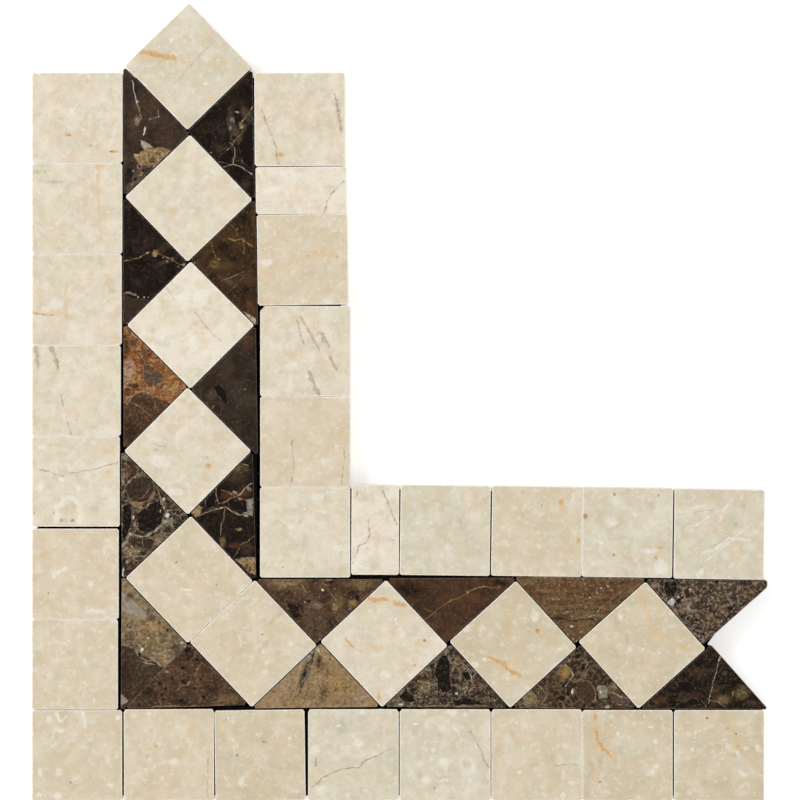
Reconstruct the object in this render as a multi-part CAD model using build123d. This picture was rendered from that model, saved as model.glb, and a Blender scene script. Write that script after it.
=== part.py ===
from build123d import *
from math import cos, radians, sin, sqrt
import os

# Border corner tile: an L of hand-laid marble chips bonded to a glass-fibre mesh.
# One leg runs up (+Y) and one to the right (+X). Each leg has an outer and an inner course of cream
# squares, and between them a band of cream squares on the bias with brown triangles in the pockets.
# The up leg ends in a point, and the right leg in the notch that takes the next strip's point.
# Sizes are in millimetres. Setting out starts at the outer corner, with the polished face up.

# Chips
chip_side = 34.4
chip_thickness = 9.6
arris = 0.5
square_nip = 0.6
tip_nip = 1.3
mitre_tip_nip = 2.6
end_tip_nip = 1.0
apex_nip = 0.5

# Mesh: yarns bonded flat where they cross
yarn_pitch = 10.0
yarn_width = 1.2
mesh_thickness = 0.4
mesh_inset = 1.5

# How many chips each course of a leg has, with its corner chip, and where its closer comes
outer_course_chips = 8
inner_course_chips = 6
up_closer_place = 4
right_closer_place = 1

# Outer courses: joints in laying order. The up course leans inwards and is trimmed straight
outer_up_joints = [0.4, 0.25, 0.8, 0.3, 0.35, 0.35, 0.25]
outer_up_trims = [0, 1.6, 1.3, 0.9, 0.5, 0.3, 0.1, 0]
outer_right_joints = [0.65, 0.35, 1.15, 0.7, 0.6, 0.2, 0.5]
outer_right_turns = [0, 0.2, 0.8, 0, 0, 0, 0, 0]

# Inner courses: a closer makes up each length. Wander is how far a chip lies off the course line
inner_up_joints = [0.2, 0.2, 0.6, 0.4, 0.55]
inner_up_wander = [0, 0.05, 0.05, -0.9, -1.5, -2.0]
inner_up_turns = [0, 0, 0, 0.8, 0.5, 0.3]
inner_right_joints = [0.45, 0.4, 0.5, 0.3, 0.5]
inner_right_wander = [0, 1.05, 0.8, 0.45, 0.05, -0.65]
inner_right_turns = [0, -0.3, -0.7, -0.8, -0.8, -0.8]
up_end_chip_extra = 1.0

# Band: clearances from the bias squares' points to the courses, and how the squares wander and turn
outer_band_gap = 1.7
inner_band_gap_x = 3.1
inner_band_gap_y = 1.3
mitre_joint = 0.15
pocket_joint = 0.35
up_point_gaps = [1.25, 0.25, 0.6, 2.5]
up_drift = [0, -0.6, 0.5, -0.2, -0.4]
up_turns = [-1.5, 0.1, -0.1, -1.2, -0.8]
right_point_gaps = [2.1, 1.4, 1.4, 1.9]
right_drift = [0, 0, -0.3, -0.6, -0.3]
right_turns = [-1.5, -1.9, -2.6, -3.2, -3.4]

# How far each triangle's long side lies beyond the bias squares' points, level with its two neighbours
up_outer_reach = [(1.6, 1.9), (1.0, 1.0), (1.2, 1.1), (0.9, 1.1)]
up_inner_reach = [(1.7, 0.3), (2.3, 1.5), (2.2, 1.0), (1.0, 0.0)]
right_outer_reach = [(0.8, 0.2), (0.2, 0.6), (0.6, 0.9), (1.0, 1.2)]
right_inner_reach = [(0.7, 0.7), (0.7, 0.9), (1.6, 0.7), (0.7, 0.3)]
corner_up_reach = (2.2, 1.9)
corner_right_reach = (0.9, -0.6)

# The last pair of triangles reaches a little past the right leg's end, where the inner one is cut square
tip_overhang = 1.2

half_diagonal = (chip_side - square_nip) / sqrt(2)
band_centre = chip_side + outer_band_gap + half_diagonal
inner_course_x = band_centre + half_diagonal + inner_band_gap_x
inner_course_y = band_centre + half_diagonal + inner_band_gap_y
left, right, down, up = Vector(-1, 0), Vector(1, 0), Vector(0, -1), Vector(0, 1)


def sawn_chip(outline):
    """A chip cut from slab, with its polished edge eased."""
    body = extrude(outline, chip_thickness)
    return chamfer(body.faces().sort_by(Axis.Z)[-1].edges(), arris)


def square_chip(width, length):
    """A chip centred on the origin, with its upright corners nipped off."""
    outline = Rectangle(width, length)
    return sawn_chip(chamfer(outline.vertices(), square_nip))


def laid(chip, x, y, turn=0):
    """A chip bedded on the mesh, turned a little as the hand left it."""
    return Pos(x, y, mesh_thickness) * Rot(0, 0, turn) * chip


def middles(start, lengths, joints):
    """Middles of chips laid one after another, with a joint after each."""
    places = []
    edge = start
    for length, joint in zip(lengths, joints + [0]):
        places.append(edge + length / 2)
        edge += length + joint
    return places


def inner_lengths(start, end, joints, closer_place, end_extra):
    """Full chips and one closer among them, which makes up the length of the course."""
    lengths = [chip_side] * (len(joints) + 1)
    lengths[-1] += end_extra
    lengths[closer_place] += end - start - sum(joints) - sum(lengths)
    return lengths


def line_through(start, end):
    return start, (end - start).normalized()


def meeting_point(line_a, line_b):
    (point_a, along_a), (point_b, along_b) = line_a, line_b
    offset = point_b - point_a
    share = (offset.X * along_b.Y - offset.Y * along_b.X) / (along_a.X * along_b.Y - along_a.Y * along_b.X)
    return point_a + along_a * share


def triangular_chip(long_side, near_side, far_side, near_nip=tip_nip, far_nip=tip_nip, end_line=None):
    """A half chip cut to its pocket, between its long side and the sides that meet at its apex."""
    near_tip = meeting_point(long_side, near_side)
    apex = meeting_point(near_side, far_side)
    far_tips = [meeting_point(long_side, far_side)]
    if end_line:
        far_tips = [meeting_point(long_side, end_line), meeting_point(far_side, end_line)]
    outline = make_face(Polyline(near_tip, *far_tips, apex, close=True))
    nips = [(near_tip, near_nip), (apex, apex_nip)] + [(tip, far_nip) for tip in far_tips]
    for corner, nip in nips:
        outline = chamfer(outline.vertices().sort_by_distance(corner)[0], nip)
    return Pos(0, 0, mesh_thickness) * sawn_chip(outline)


class BiasSquare:
    """Where a square of the band lies, with its corners pointing along the legs."""

    def __init__(self, x, y, turn):
        self.centre = Vector(x, y)
        self.turn = turn

    def chip(self):
        return laid(full_chip, self.centre.X, self.centre.Y, self.turn + 45)

    def side_line(self, facing, joint):
        """The line one joint outside the side that faces this way."""
        angle = radians(facing + self.turn)
        outwards = Vector(cos(angle), sin(angle))
        return self.centre + outwards * (chip_side / 2 + joint), Vector(-sin(angle), cos(angle))


full_chip = square_chip(chip_side, chip_side)
parts = {}

# Outer courses, which share the corner chip
up_places = middles(0, [chip_side] * outer_course_chips, outer_up_joints)
right_places = middles(0, [chip_side] * outer_course_chips, outer_right_joints)
up_end = up_places[-1] + chip_side / 2
right_end = right_places[-1] + chip_side / 2
parts["cream_square_outer_corner"] = laid(full_chip, right_places[0], up_places[0])
for i in range(1, outer_course_chips):
    width = chip_side - outer_up_trims[i]
    parts[f"cream_square_outer_up_{i}"] = laid(square_chip(width, chip_side), width / 2, up_places[i])
    parts[f"cream_square_outer_right_{i}"] = laid(
        full_chip, right_places[i], chip_side / 2, outer_right_turns[i]
    )

# Inner courses, which share the chip in the angle of the L
inner_x = inner_course_x + chip_side / 2
inner_y = inner_course_y + chip_side / 2
up_lengths = inner_lengths(inner_course_y, up_end, inner_up_joints, up_closer_place, up_end_chip_extra)
right_lengths = inner_lengths(inner_course_x, right_end, inner_right_joints, right_closer_place, 0)
up_places = middles(inner_course_y, up_lengths, inner_up_joints)
right_places = middles(inner_course_x, right_lengths, inner_right_joints)
parts["cream_square_inner_corner"] = laid(full_chip, inner_x, inner_y)
for i in range(1, inner_course_chips):
    name = "cream_closer_inner_up" if i == up_closer_place else f"cream_square_inner_up_{i}"
    chip = square_chip(chip_side, up_lengths[i])
    parts[name] = laid(chip, inner_x + inner_up_wander[i], up_places[i], inner_up_turns[i])
    name = "cream_closer_inner_right" if i == right_closer_place else f"cream_square_inner_right_{i}"
    chip = square_chip(right_lengths[i], chip_side)
    parts[name] = laid(chip, right_places[i], inner_y + inner_right_wander[i], inner_right_turns[i])

# Band squares: the first of each leg meet side to side on the corner's mitre
first_place = band_centre + (chip_side + mitre_joint) / sqrt(2)
up_squares = []
y = first_place
for drift, turn, gap in zip(up_drift, up_turns, up_point_gaps + [0]):
    up_squares.append(BiasSquare(band_centre + drift, y, turn))
    y += 2 * half_diagonal + gap
right_squares = []
x = first_place
for drift, turn, gap in zip(right_drift, right_turns, right_point_gaps + [0]):
    right_squares.append(BiasSquare(x, band_centre + drift, turn))
    x += 2 * half_diagonal + gap
next_strip_square = right_squares[-1]
for i, square in enumerate(up_squares, 1):
    parts[f"cream_bias_square_up_{i}"] = square.chip()
for i, square in enumerate(right_squares[:-1], 1):
    parts[f"cream_bias_square_right_{i}"] = square.chip()


def band_edge_point(square, outwards, reach):
    """The point on the band's edge that is level with a square's middle."""
    distance = half_diagonal + reach
    if outwards.X:
        return Vector(band_centre + outwards.X * distance, square.centre.Y)
    return Vector(square.centre.X, band_centre + outwards.Y * distance)


def pocket_triangle(near, far, outwards, reaches, near_facing, far_facing, **cuts):
    """The triangle between two bias squares, on the side of the band that outwards gives."""
    near_end = band_edge_point(near, outwards, reaches[0])
    far_end = band_edge_point(far, outwards, reaches[1])
    return triangular_chip(
        line_through(near_end, far_end),
        near.side_line(near_facing, pocket_joint),
        far.side_line(far_facing, pocket_joint),
        **cuts,
    )


# Triangles in the pockets. The last pair of the right leg leaves the notch for the next strip
strip_end = (Vector(right_end + tip_overhang, 0), up)
for i in range(len(up_point_gaps)):
    near, far = up_squares[i], up_squares[i + 1]
    near_nip = mitre_tip_nip if i == 0 else tip_nip
    outer = pocket_triangle(near, far, left, up_outer_reach[i], 135, 225)
    inner = pocket_triangle(near, far, right, up_inner_reach[i], 45, 315, near_nip=near_nip)
    parts[f"brown_triangle_outer_up_{i + 1}"] = outer
    parts[f"brown_triangle_inner_up_{i + 1}"] = inner
for i in range(len(right_point_gaps)):
    near, far = right_squares[i], right_squares[i + 1]
    outer_cuts, inner_cuts = {}, {}
    if far is next_strip_square:
        outer_cuts, inner_cuts = {"far_nip": end_tip_nip}, {"far_nip": square_nip, "end_line": strip_end}
    outer = pocket_triangle(near, far, down, right_outer_reach[i], 315, 225, **outer_cuts)
    inner = pocket_triangle(near, far, up, right_inner_reach[i], 45, 135, **inner_cuts)
    parts[f"brown_triangle_outer_right_{i + 1}"] = outer
    parts[f"brown_triangle_inner_right_{i + 1}"] = inner

# Two triangles meet on the mitre and fill the outer corner
band_edge = band_centre - half_diagonal
mitre_middle = Vector(band_centre, band_centre)
mitre_along = Vector(1, 1).normalized()
half_joint = Vector(-1, 1).normalized() * (mitre_joint / 2)
up_long_side = line_through(
    Vector(band_edge - corner_up_reach[0], band_edge), Vector(band_edge - corner_up_reach[1], first_place)
)
right_long_side = line_through(
    Vector(band_edge, band_edge - corner_right_reach[0]), Vector(first_place, band_edge - corner_right_reach[1])
)
parts["brown_triangle_corner_up"] = triangular_chip(
    up_long_side, (mitre_middle + half_joint, mitre_along), up_squares[0].side_line(225, pocket_joint)
)
parts["brown_triangle_corner_right"] = triangular_chip(
    right_long_side, (mitre_middle - half_joint, mitre_along), right_squares[0].side_line(225, pocket_joint)
)


def yarn_places(low, high):
    """Middles of the whole yarns between two cuts. The first lies half a pitch from the corner."""
    places = [(i + 0.5) * yarn_pitch for i in range(int(high / yarn_pitch) + 1)]
    return [place for place in places if low + yarn_width / 2 < place < high - yarn_width / 2]


def mesh_panel(*corners):
    """Mesh cut to a convex outline, its yarns bonded where they cross and loose ends dropped."""
    outline = make_face(Polyline(*corners, close=True))
    box = outline.bounding_box()
    centre = box.center()
    yarns = [Pos(x, centre.Y) * Rectangle(yarn_width, box.size.Y) for x in yarn_places(box.min.X, box.max.X)]
    yarns += [Pos(centre.X, y) * Rectangle(box.size.X, yarn_width) for y in yarn_places(box.min.Y, box.max.Y)]
    panel = extrude((Sketch() + yarns) & outline, mesh_thickness)
    return panel.solids().sort_by(SortBy.VOLUME)[-1]


# Mesh, cut into convex panels that keep clear of the notch and follow the point
outer_cut = mesh_inset
inner_cut = min(inner_course_x, inner_course_y) + chip_side - mesh_inset
up_cut = up_end - mesh_inset
right_cut = right_end - mesh_inset
notch_cut = next_strip_square.centre.X - half_diagonal - mesh_inset
parts["mesh_corner"] = mesh_panel(
    (outer_cut, outer_cut), (inner_cut, outer_cut), (inner_cut, inner_cut), (outer_cut, inner_cut)
)
parts["mesh_up_leg"] = mesh_panel(
    (outer_cut, inner_cut), (inner_cut, inner_cut), (inner_cut, up_cut), (outer_cut, up_cut)
)
parts["mesh_right_leg"] = mesh_panel(
    (inner_cut, outer_cut), (notch_cut, outer_cut), (notch_cut, inner_cut), (inner_cut, inner_cut)
)
notch_line = (Vector(notch_cut, 0), up)
end_line = (Vector(right_cut, 0), up)
lower_side = next_strip_square.side_line(225, pocket_joint + mesh_inset)
upper_side = next_strip_square.side_line(135, pocket_joint + mesh_inset)
parts["mesh_below_notch"] = mesh_panel(
    (notch_cut, outer_cut),
    (right_cut, outer_cut),
    meeting_point(lower_side, end_line),
    meeting_point(lower_side, notch_line),
)
parts["mesh_above_notch"] = mesh_panel(
    meeting_point(upper_side, notch_line),
    meeting_point(upper_side, end_line),
    (right_cut, inner_cut),
    (notch_cut, inner_cut),
)
point_square = up_squares[-1]
point_sides = {facing: point_square.side_line(facing, -mesh_inset) for facing in (45, 135, 225, 315)}
up_cut_line = (Vector(0, up_cut), right)
parts["mesh_point"] = mesh_panel(
    meeting_point(point_sides[225], up_cut_line),
    meeting_point(point_sides[315], up_cut_line),
    meeting_point(point_sides[315], point_sides[45]),
    meeting_point(point_sides[45], point_sides[135]),
    meeting_point(point_sides[135], point_sides[225]),
)

# The middle of the footprint goes to the origin
boxes = [part.bounding_box() for part in parts.values()]
middle_x = (min(box.min.X for box in boxes) + max(box.max.X for box in boxes)) / 2
middle_y = (min(box.min.Y for box in boxes) + max(box.max.Y for box in boxes)) / 2
os.makedirs("parts", exist_ok=True)
for name, part in parts.items():
    export_step(Pos(-middle_x, -middle_y, 0) * part, f"parts/{name}.step")
print("middle", middle_x, middle_y, "ends", up_end, right_end)
print("closers", up_lengths[up_closer_place], right_lengths[right_closer_place])
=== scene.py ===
import math
import random

import bpy
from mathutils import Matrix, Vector, geometry, noise


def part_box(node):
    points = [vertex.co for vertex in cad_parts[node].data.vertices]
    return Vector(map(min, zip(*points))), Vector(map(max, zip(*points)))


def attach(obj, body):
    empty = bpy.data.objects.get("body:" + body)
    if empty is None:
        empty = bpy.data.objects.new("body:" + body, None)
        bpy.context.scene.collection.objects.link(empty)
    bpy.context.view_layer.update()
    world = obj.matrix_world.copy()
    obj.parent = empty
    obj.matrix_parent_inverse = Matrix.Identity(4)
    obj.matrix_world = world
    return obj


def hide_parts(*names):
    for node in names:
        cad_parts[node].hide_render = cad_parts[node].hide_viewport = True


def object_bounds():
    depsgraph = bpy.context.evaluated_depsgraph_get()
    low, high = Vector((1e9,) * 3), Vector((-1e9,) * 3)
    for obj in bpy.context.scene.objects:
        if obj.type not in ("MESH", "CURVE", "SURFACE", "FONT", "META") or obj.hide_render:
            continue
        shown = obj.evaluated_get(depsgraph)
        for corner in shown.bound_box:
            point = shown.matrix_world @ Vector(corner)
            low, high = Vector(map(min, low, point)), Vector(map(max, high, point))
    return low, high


# A border corner of polished marble mosaic: cream squares and brown triangles bonded to a glass-fibre mesh.
# Everything is in metres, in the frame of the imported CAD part: the mesh lies on z = 0 and the face is up.

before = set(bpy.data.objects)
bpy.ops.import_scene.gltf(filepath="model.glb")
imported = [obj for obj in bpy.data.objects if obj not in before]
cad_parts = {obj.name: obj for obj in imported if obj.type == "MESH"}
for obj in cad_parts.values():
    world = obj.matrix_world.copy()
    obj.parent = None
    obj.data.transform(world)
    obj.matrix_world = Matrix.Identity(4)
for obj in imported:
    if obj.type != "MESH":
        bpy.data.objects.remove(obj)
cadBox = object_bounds()
bpy.context.scene.view_settings.view_transform = "Standard"
mm = 0.001
stoneNodes = sorted(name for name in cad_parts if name.startswith(("cream", "brown")))
meshNodes = sorted(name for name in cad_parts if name.startswith("mesh"))
print("frame:", len(stoneNodes), "stone chips and", len(meshNodes), "mesh panels")


def linear(hexColour):  # an sRGB hex colour as linear RGBA
    channels = [int(hexColour[i:i + 2], 16) / 255 for i in (1, 3, 5)]
    return [c / 12.92 if c <= 0.04045 else ((c + 0.055) / 1.055) ** 2.4 for c in channels] + [1.0]


def addNode(tree, kind, inputs=None, **settings):  # a node with its settings, and its inputs set or linked
    made = tree.nodes.new(kind if kind.startswith("NodeGroup") else "ShaderNode" + kind)
    for name, value in settings.items():
        setattr(made, name, value)
    for socket, value in (inputs or {}).items():
        if isinstance(value, bpy.types.NodeSocket):
            tree.links.new(value, made.inputs[socket])
        else:
            made.inputs[socket].default_value = value
    return made


def newMaterial(name):  # an empty node material with its output
    material = bpy.data.materials.new(name)
    material.use_nodes = True
    material.node_tree.nodes.clear()
    return material, material.node_tree, addNode(material.node_tree, "OutputMaterial")


def newObject(name, vertices, faces, place=(0, 0, 0)):  # a mesh object from plain lists
    mesh = bpy.data.meshes.new(name)
    mesh.from_pydata(vertices, [], faces)
    mesh.validate()
    made = bpy.data.objects.new(name, mesh)
    made.location = place
    bpy.context.scene.collection.objects.link(made)
    return made


# Camera, light and ground

view = {
    "middle": (0.13, 1.0),  # mm, what the picture's middle looks at
    "field": 305.2,  # mm of the face across the picture
    "faceHeight": 10.0,  # mm
    "lens": 300.0,  # mm, long, so that the sheet looks as flat as a scan
    "sensor": 36.0,  # mm
}
camera = bpy.data.objects.new("camera", bpy.data.cameras.new("camera"))
camera.data.lens = view["lens"]
camera.data.sensor_width = view["sensor"]
camera.data.clip_end = 20
cameraHeight = view["faceHeight"] + view["field"] * view["lens"] / view["sensor"]
camera.location = (view["middle"][0] * mm, view["middle"][1] * mm, cameraHeight * mm)
bpy.context.scene.collection.objects.link(camera)
bpy.context.scene.camera = camera

light = {
    "sky": 0.77,  # the bright walls of the studio, 1 is white
    "ceiling": 0.1,  # the dark ceiling over the camera, which a polished face would mirror
    "ceilingEdge": (0.86, 0.95),  # up part of a direction, where the walls turn to ceiling
    "lamps": {  # place in metres, size in metres, share of the light on a level face
        "softbox_left": ((-1.2, 0.8, 1.3), 0.8, 0.25),
        "softbox_right": ((1.3, -0.9, 1.7), 0.9, 0.11),
    },
}
for name, (place, size, share) in light["lamps"].items():
    lamp = bpy.data.objects.new(name, bpy.data.lights.new(name, "AREA"))
    lamp.data.size = size
    away = Vector(place)
    lamp.data.energy = share * math.pi ** 2 * away.length ** 3 / away.z  # watts for that share on the sheet
    lamp.location = away
    lamp.rotation_mode = "QUATERNION"
    lamp.rotation_quaternion = away.to_track_quat("Z", "Y")
    lamp.visible_camera = False
    bpy.context.scene.collection.objects.link(lamp)

world = bpy.data.worlds.new("studio")
bpy.context.scene.world = world
world.use_nodes = True
sky = world.node_tree
sky.nodes.clear()
direction = addNode(sky, "TexCoord").outputs["Generated"]
up = addNode(sky, "SeparateXYZ", {0: direction}).outputs["Z"]
ceiling = addNode(sky, "MapRange", {
    0: up, 1: light["ceilingEdge"][0], 2: light["ceilingEdge"][1], 3: 0.0, 4: 1.0},
    interpolation_type="SMOOTHSTEP").outputs[0]
strength = addNode(sky, "MapRange", {0: ceiling, 3: light["sky"], 4: light["ceiling"]}).outputs[0]
studio = addNode(sky, "Background", {"Color": (1, 1, 1, 1), "Strength": strength})
white = addNode(sky, "Background", {"Color": (1, 1, 1, 1), "Strength": 1.0})
ray = addNode(sky, "LightPath").outputs
walls = addNode(sky, "Math", {0: 1.0, 1: ceiling}, operation="SUBTRACT").outputs[0]
mirrored = addNode(sky, "Math", {0: ray["Is Glossy Ray"], 1: walls}, operation="MULTIPLY").outputs[0]
seen = addNode(sky, "Math", {0: ray["Is Camera Ray"], 1: mirrored}, operation="MAXIMUM").outputs[0]
seen = addNode(sky, "Math", {0: seen, 1: ray["Is Transmission Ray"]}, operation="MAXIMUM").outputs[0]
mixed = addNode(sky, "MixShader", {0: seen, 1: studio.outputs[0], 2: white.outputs[0]})
addNode(sky, "OutputWorld", {0: mixed.outputs[0]})

ground = {
    "floorColour": "#f1f0ed",
    "floorRadius": 4.0,  # m
    "glow": 0.46,  # added for the camera, so that the floor reads white and keeps the shadow
    # painted shade: a near black card under the sheet stands for the shade deep in the open joints
    "paintedShadeColour": "#0b0a09",
    "cardInset": 1.6,  # mm that the dark card of painted shade stays inside the sheet's edges
    "cardThickness": 0.3,  # mm
    "notchBack": -0.6,  # mm that the card stays back from the middle of the notch tip
}


def floorMaterial():  # matt studio paper, pale, which gives a white ground with a soft shadow
    material, tree, output = newMaterial("pale floor, matt paper")
    grain = addNode(tree, "TexNoise", {"Scale": 9.0, "Detail": 3.0}).outputs[0]
    tone = addNode(tree, "MapRange", {0: grain, 3: 0.985, 4: 1.0}).outputs[0]
    colour = addNode(tree, "Mix", {0: tone, 6: (0, 0, 0, 1), 7: linear(ground["floorColour"])},
                     data_type="RGBA").outputs[2]
    paper = addNode(tree, "BsdfDiffuse", {"Color": colour})
    rays = addNode(tree, "LightPath").outputs
    shown = addNode(tree, "Math", {0: rays["Is Camera Ray"], 1: rays["Is Glossy Ray"]},
                    operation="MAXIMUM").outputs[0]
    shown = addNode(tree, "Math", {0: shown, 1: rays["Is Transmission Ray"]},
                    operation="MAXIMUM").outputs[0]
    amount = addNode(tree, "Math", {0: shown, 1: ground["glow"]}, operation="MULTIPLY").outputs[0]
    glow = addNode(tree, "Emission", {"Color": (1, 1, 1, 1), "Strength": amount})
    both = addNode(tree, "AddShader", {0: paper.outputs[0], 1: glow.outputs[0]})
    tree.links.new(both.outputs[0], output.inputs["Surface"])
    return material


def paintedShadeCardMaterial():  # painted shade: a dark matt card under the sheet, so that the open joints read dark
    material, tree, output = newMaterial("painted shade card, matt")
    grain = addNode(tree, "TexNoise", {"Scale": 400.0, "Detail": 3.0}).outputs[0]
    tone = addNode(tree, "MapRange", {0: grain, 3: 0.6, 4: 1.0}).outputs[0]
    colour = addNode(tree, "Mix", {0: tone, 6: (0, 0, 0, 1), 7: linear(ground["paintedShadeColour"])},
                     data_type="RGBA").outputs[2]
    shadeCard = addNode(tree, "BsdfDiffuse", {"Color": colour})
    tree.links.new(shadeCard.outputs[0], output.inputs["Surface"])
    return material


def buildGround():
    steps = 96
    rim = [(ground["floorRadius"] * math.cos(math.tau * i / steps),
            ground["floorRadius"] * math.sin(math.tau * i / steps), 0) for i in range(steps)]
    floor = newObject("floor", rim, [list(range(steps))], (0, 0, -ground["cardThickness"] * mm))
    floor.data.materials.append(floorMaterial())
    inset, back, thick = ground["cardInset"] * mm, ground["notchBack"] * mm, ground["cardThickness"] * mm
    left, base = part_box("cream_square_outer_corner")[0].xy
    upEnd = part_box("cream_square_outer_up_7")[1].y - inset
    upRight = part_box("cream_square_inner_up_5")[1].x - inset
    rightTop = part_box("cream_closer_inner_right")[1].y - inset
    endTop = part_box("cream_square_inner_right_5")[1].y - 2 * inset
    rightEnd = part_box("cream_square_outer_right_7")[1].x - inset
    upperTip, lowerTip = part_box("brown_triangle_inner_right_4"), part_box("brown_triangle_outer_right_4")
    notchTip = (upperTip[0].x + upperTip[1].x) / 2 - back
    corners = [(left + inset, base + inset), (rightEnd, base + inset), (rightEnd, lowerTip[0].y - inset),
               (notchTip, (upperTip[0].y + lowerTip[1].y) / 2), (rightEnd, upperTip[1].y + inset),
               (rightEnd, endTop), (upRight, rightTop), (upRight, upEnd), (left + inset, upEnd)]
    # the card of painted shade, cut to the sheet's outline and set just under it
    shadeCard = newObject("painted_shade_card", [(x, y, z) for z in (-thick, -0.01 * mm) for x, y in corners], [
        list(range(len(corners), 2 * len(corners)))] + [
        [i, (i + 1) % len(corners), (i + 1) % len(corners) + len(corners), i + len(corners)]
        for i in range(len(corners))])
    shadeCard.data.materials.append(paintedShadeCardMaterial())


buildGround()
print("camera, light and ground done")


# The chips: each is built anew on the outline of its CAD solid, with a worn arris and sawn sides

chip = {
    "step": 0.7,  # mm between points along an edge
    "arris": {"cream": 0.3, "brown": 0.19},  # mm, radius of the eased edge round the polished face
    "arrisWander": 0.3,  # share by which it varies along the edge
    "arrisSteps": 4,
    "spallEvery": 26.0,  # mm of edge for each small spall
    "spallWidth": (0.5, 1.5),  # mm
    "spallDepth": (0.1, 0.3),  # mm
    "widest": 0.62,  # mm, the most that an arris may take, so that the tips stay whole
    "underArris": 0.12,  # mm below the arris where the side starts to wear
    "holdLine": 0.1,  # mm from the arris to where the flat face starts
    "sawWander": 0.1,  # mm that the sawn sides fall back
    "backNip": 0.25,  # mm, broken edge round the back
    "sideHeights": (0.25, 2.0, 4.0, 6.0, 8.0),  # mm over the back
    "brokenIn": 0.55,  # share of its size by which a broken corner moves in
    "brokenDrop": 1.4,  # mm that its tip drops
    "brokenDepth": 1.2,  # mm below the face that the break reaches
    "sharpFrom": 35,  # degrees, an edge turned more than this is drawn sharp
}
tightJoints = {
    "gap": 0.05,  # mm left between two butted chips
    "pairs": [("cream_square_outer_up_1", "cream_square_outer_up_2"),
              ("cream_square_outer_up_3", "cream_square_outer_up_4"),
              ("cream_square_outer_up_4", "cream_square_outer_up_5"),
              ("cream_square_outer_up_5", "cream_square_outer_up_6"),
              ("cream_square_outer_up_6", "cream_square_outer_up_7"),
              ("cream_square_outer_right_5", "cream_square_outer_right_6"),
              ("cream_square_inner_corner", "cream_square_inner_up_1"),
              ("cream_square_inner_up_1", "cream_square_inner_up_2"),
              ("cream_square_inner_up_3", "cream_closer_inner_up"),
              ("cream_square_inner_right_3", "cream_square_inner_right_4")],
    "sides": [  # chips, the side that stands out, and by how many mm
        (["cream_square_outer_corner"], (0, 1), 0.22),
        ([f"cream_square_outer_right_{i}" for i in (1, 3, 4, 5)], (0, 1), 0.6),
        (["cream_square_outer_right_3", "cream_square_outer_right_4"], (1, 0), 0.17),
        (["cream_square_outer_right_4", "cream_square_outer_right_5"], (-1, 0), 0.17),
        (["cream_square_inner_right_3"], (1, 0), 0.13),
        (["cream_square_inner_right_4"], (-1, 0), 0.13),
        ([f"cream_square_outer_right_{i}" for i in (2, 6, 7)], (0, 1), 0.3),
        (["cream_square_inner_up_5", "cream_closer_inner_up", "cream_square_inner_up_3"], (-1, 0), 0.15),
        (["cream_square_inner_up_5", "cream_closer_inner_up"], (0, -1), 0.3),
        (["cream_square_inner_up_3"], (0, -1), 0.22),
        (["brown_triangle_inner_up_4", "brown_triangle_inner_up_3"], (1, 0), 0.15),
        ([f"brown_triangle_outer_up_{i}" for i in (1, 2, 3, 4)], (-1, 0), 0.2),
        ([f"cream_square_outer_up_{i}" for i in (7, 6, 5)], (1, 0), 0.2),
        (["brown_triangle_inner_right_2", "brown_triangle_inner_right_3"], (0, 1), 0.35),
    ],
    "longEdge": 10.0,  # mm, an edge longer than this is a side of the chip and not a nipped corner
}
brokenCorners = {  # chips with a corner knocked off: (which side in x, in y, size in mm)
    "cream_square_inner_up_2": (-1, 1, 1.7),
}


def outlineOf(name):  # the corners of a chip's back, anticlockwise, and its lowest and highest z
    low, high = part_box(name)
    points = {(round(v.co.x, 7), round(v.co.y, 7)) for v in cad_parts[name].data.vertices
              if v.co.z < low.z + 0.05 * mm}
    middleX = sum(p[0] for p in points) / len(points)
    middleY = sum(p[1] for p in points) / len(points)
    ordered = sorted(points, key=lambda p: math.atan2(p[1] - middleY, p[0] - middleX))
    kept = []
    for i, p in enumerate(ordered):  # drops points that lie on a straight edge
        before, after = Vector(ordered[i - 1]), Vector(ordered[(i + 1) % len(ordered)])
        if abs((Vector(p) - before).normalized().cross((after - Vector(p)).normalized())) > 0.02:
            kept.append(Vector(p))
    return kept, low.z, high.z


def sidesGrown():  # how far each chip's sides move out, in metres, by (x, y) direction of the side
    grown = {}

    def grow(name, side, reach):
        grown.setdefault(name, {})[side] = reach

    for first, second in tightJoints["pairs"]:
        a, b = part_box(first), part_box(second)
        across, upward = b[0].x - a[1].x, b[0].y - a[1].y
        side = (1, 0) if across > upward else (0, 1)
        reach = (max(across, upward) - tightJoints["gap"] * mm) / 2
        grow(first, side, max(0.0, reach))
        grow(second, (-side[0], -side[1]), max(0.0, reach))
    for names, side, reach in tightJoints["sides"]:
        for name in names:
            grow(name, side, reach * mm)
    return grown


chipGrowth = sidesGrown()


def grownOutline(name, corners):  # the outline with the sides that butt a neighbour moved out to it
    moved = [corner.copy() for corner in corners]
    for side, reach in chipGrowth.get(name, {}).items():
        for i, here in enumerate(corners):
            j = (i + 1) % len(corners)
            edge = corners[j] - here
            outward = Vector((edge.y, -edge.x)).normalized()
            if edge.length > tightJoints["longEdge"] * mm and outward.dot(Vector(side)) > 0.9:
                moved[i] += outward * reach
                moved[j] += outward * reach
    return moved


def mitres(corners):  # how far each corner moves inward for each unit of inset
    result = []
    for i, here in enumerate(corners):
        a = (here - corners[i - 1]).normalized()
        b = (corners[(i + 1) % len(corners)] - here).normalized()
        inA, inB = Vector((-a.y, a.x)), Vector((-b.y, b.x))
        result.append((inA + inB) / (1 + inA.dot(inB)))
    return result


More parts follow.
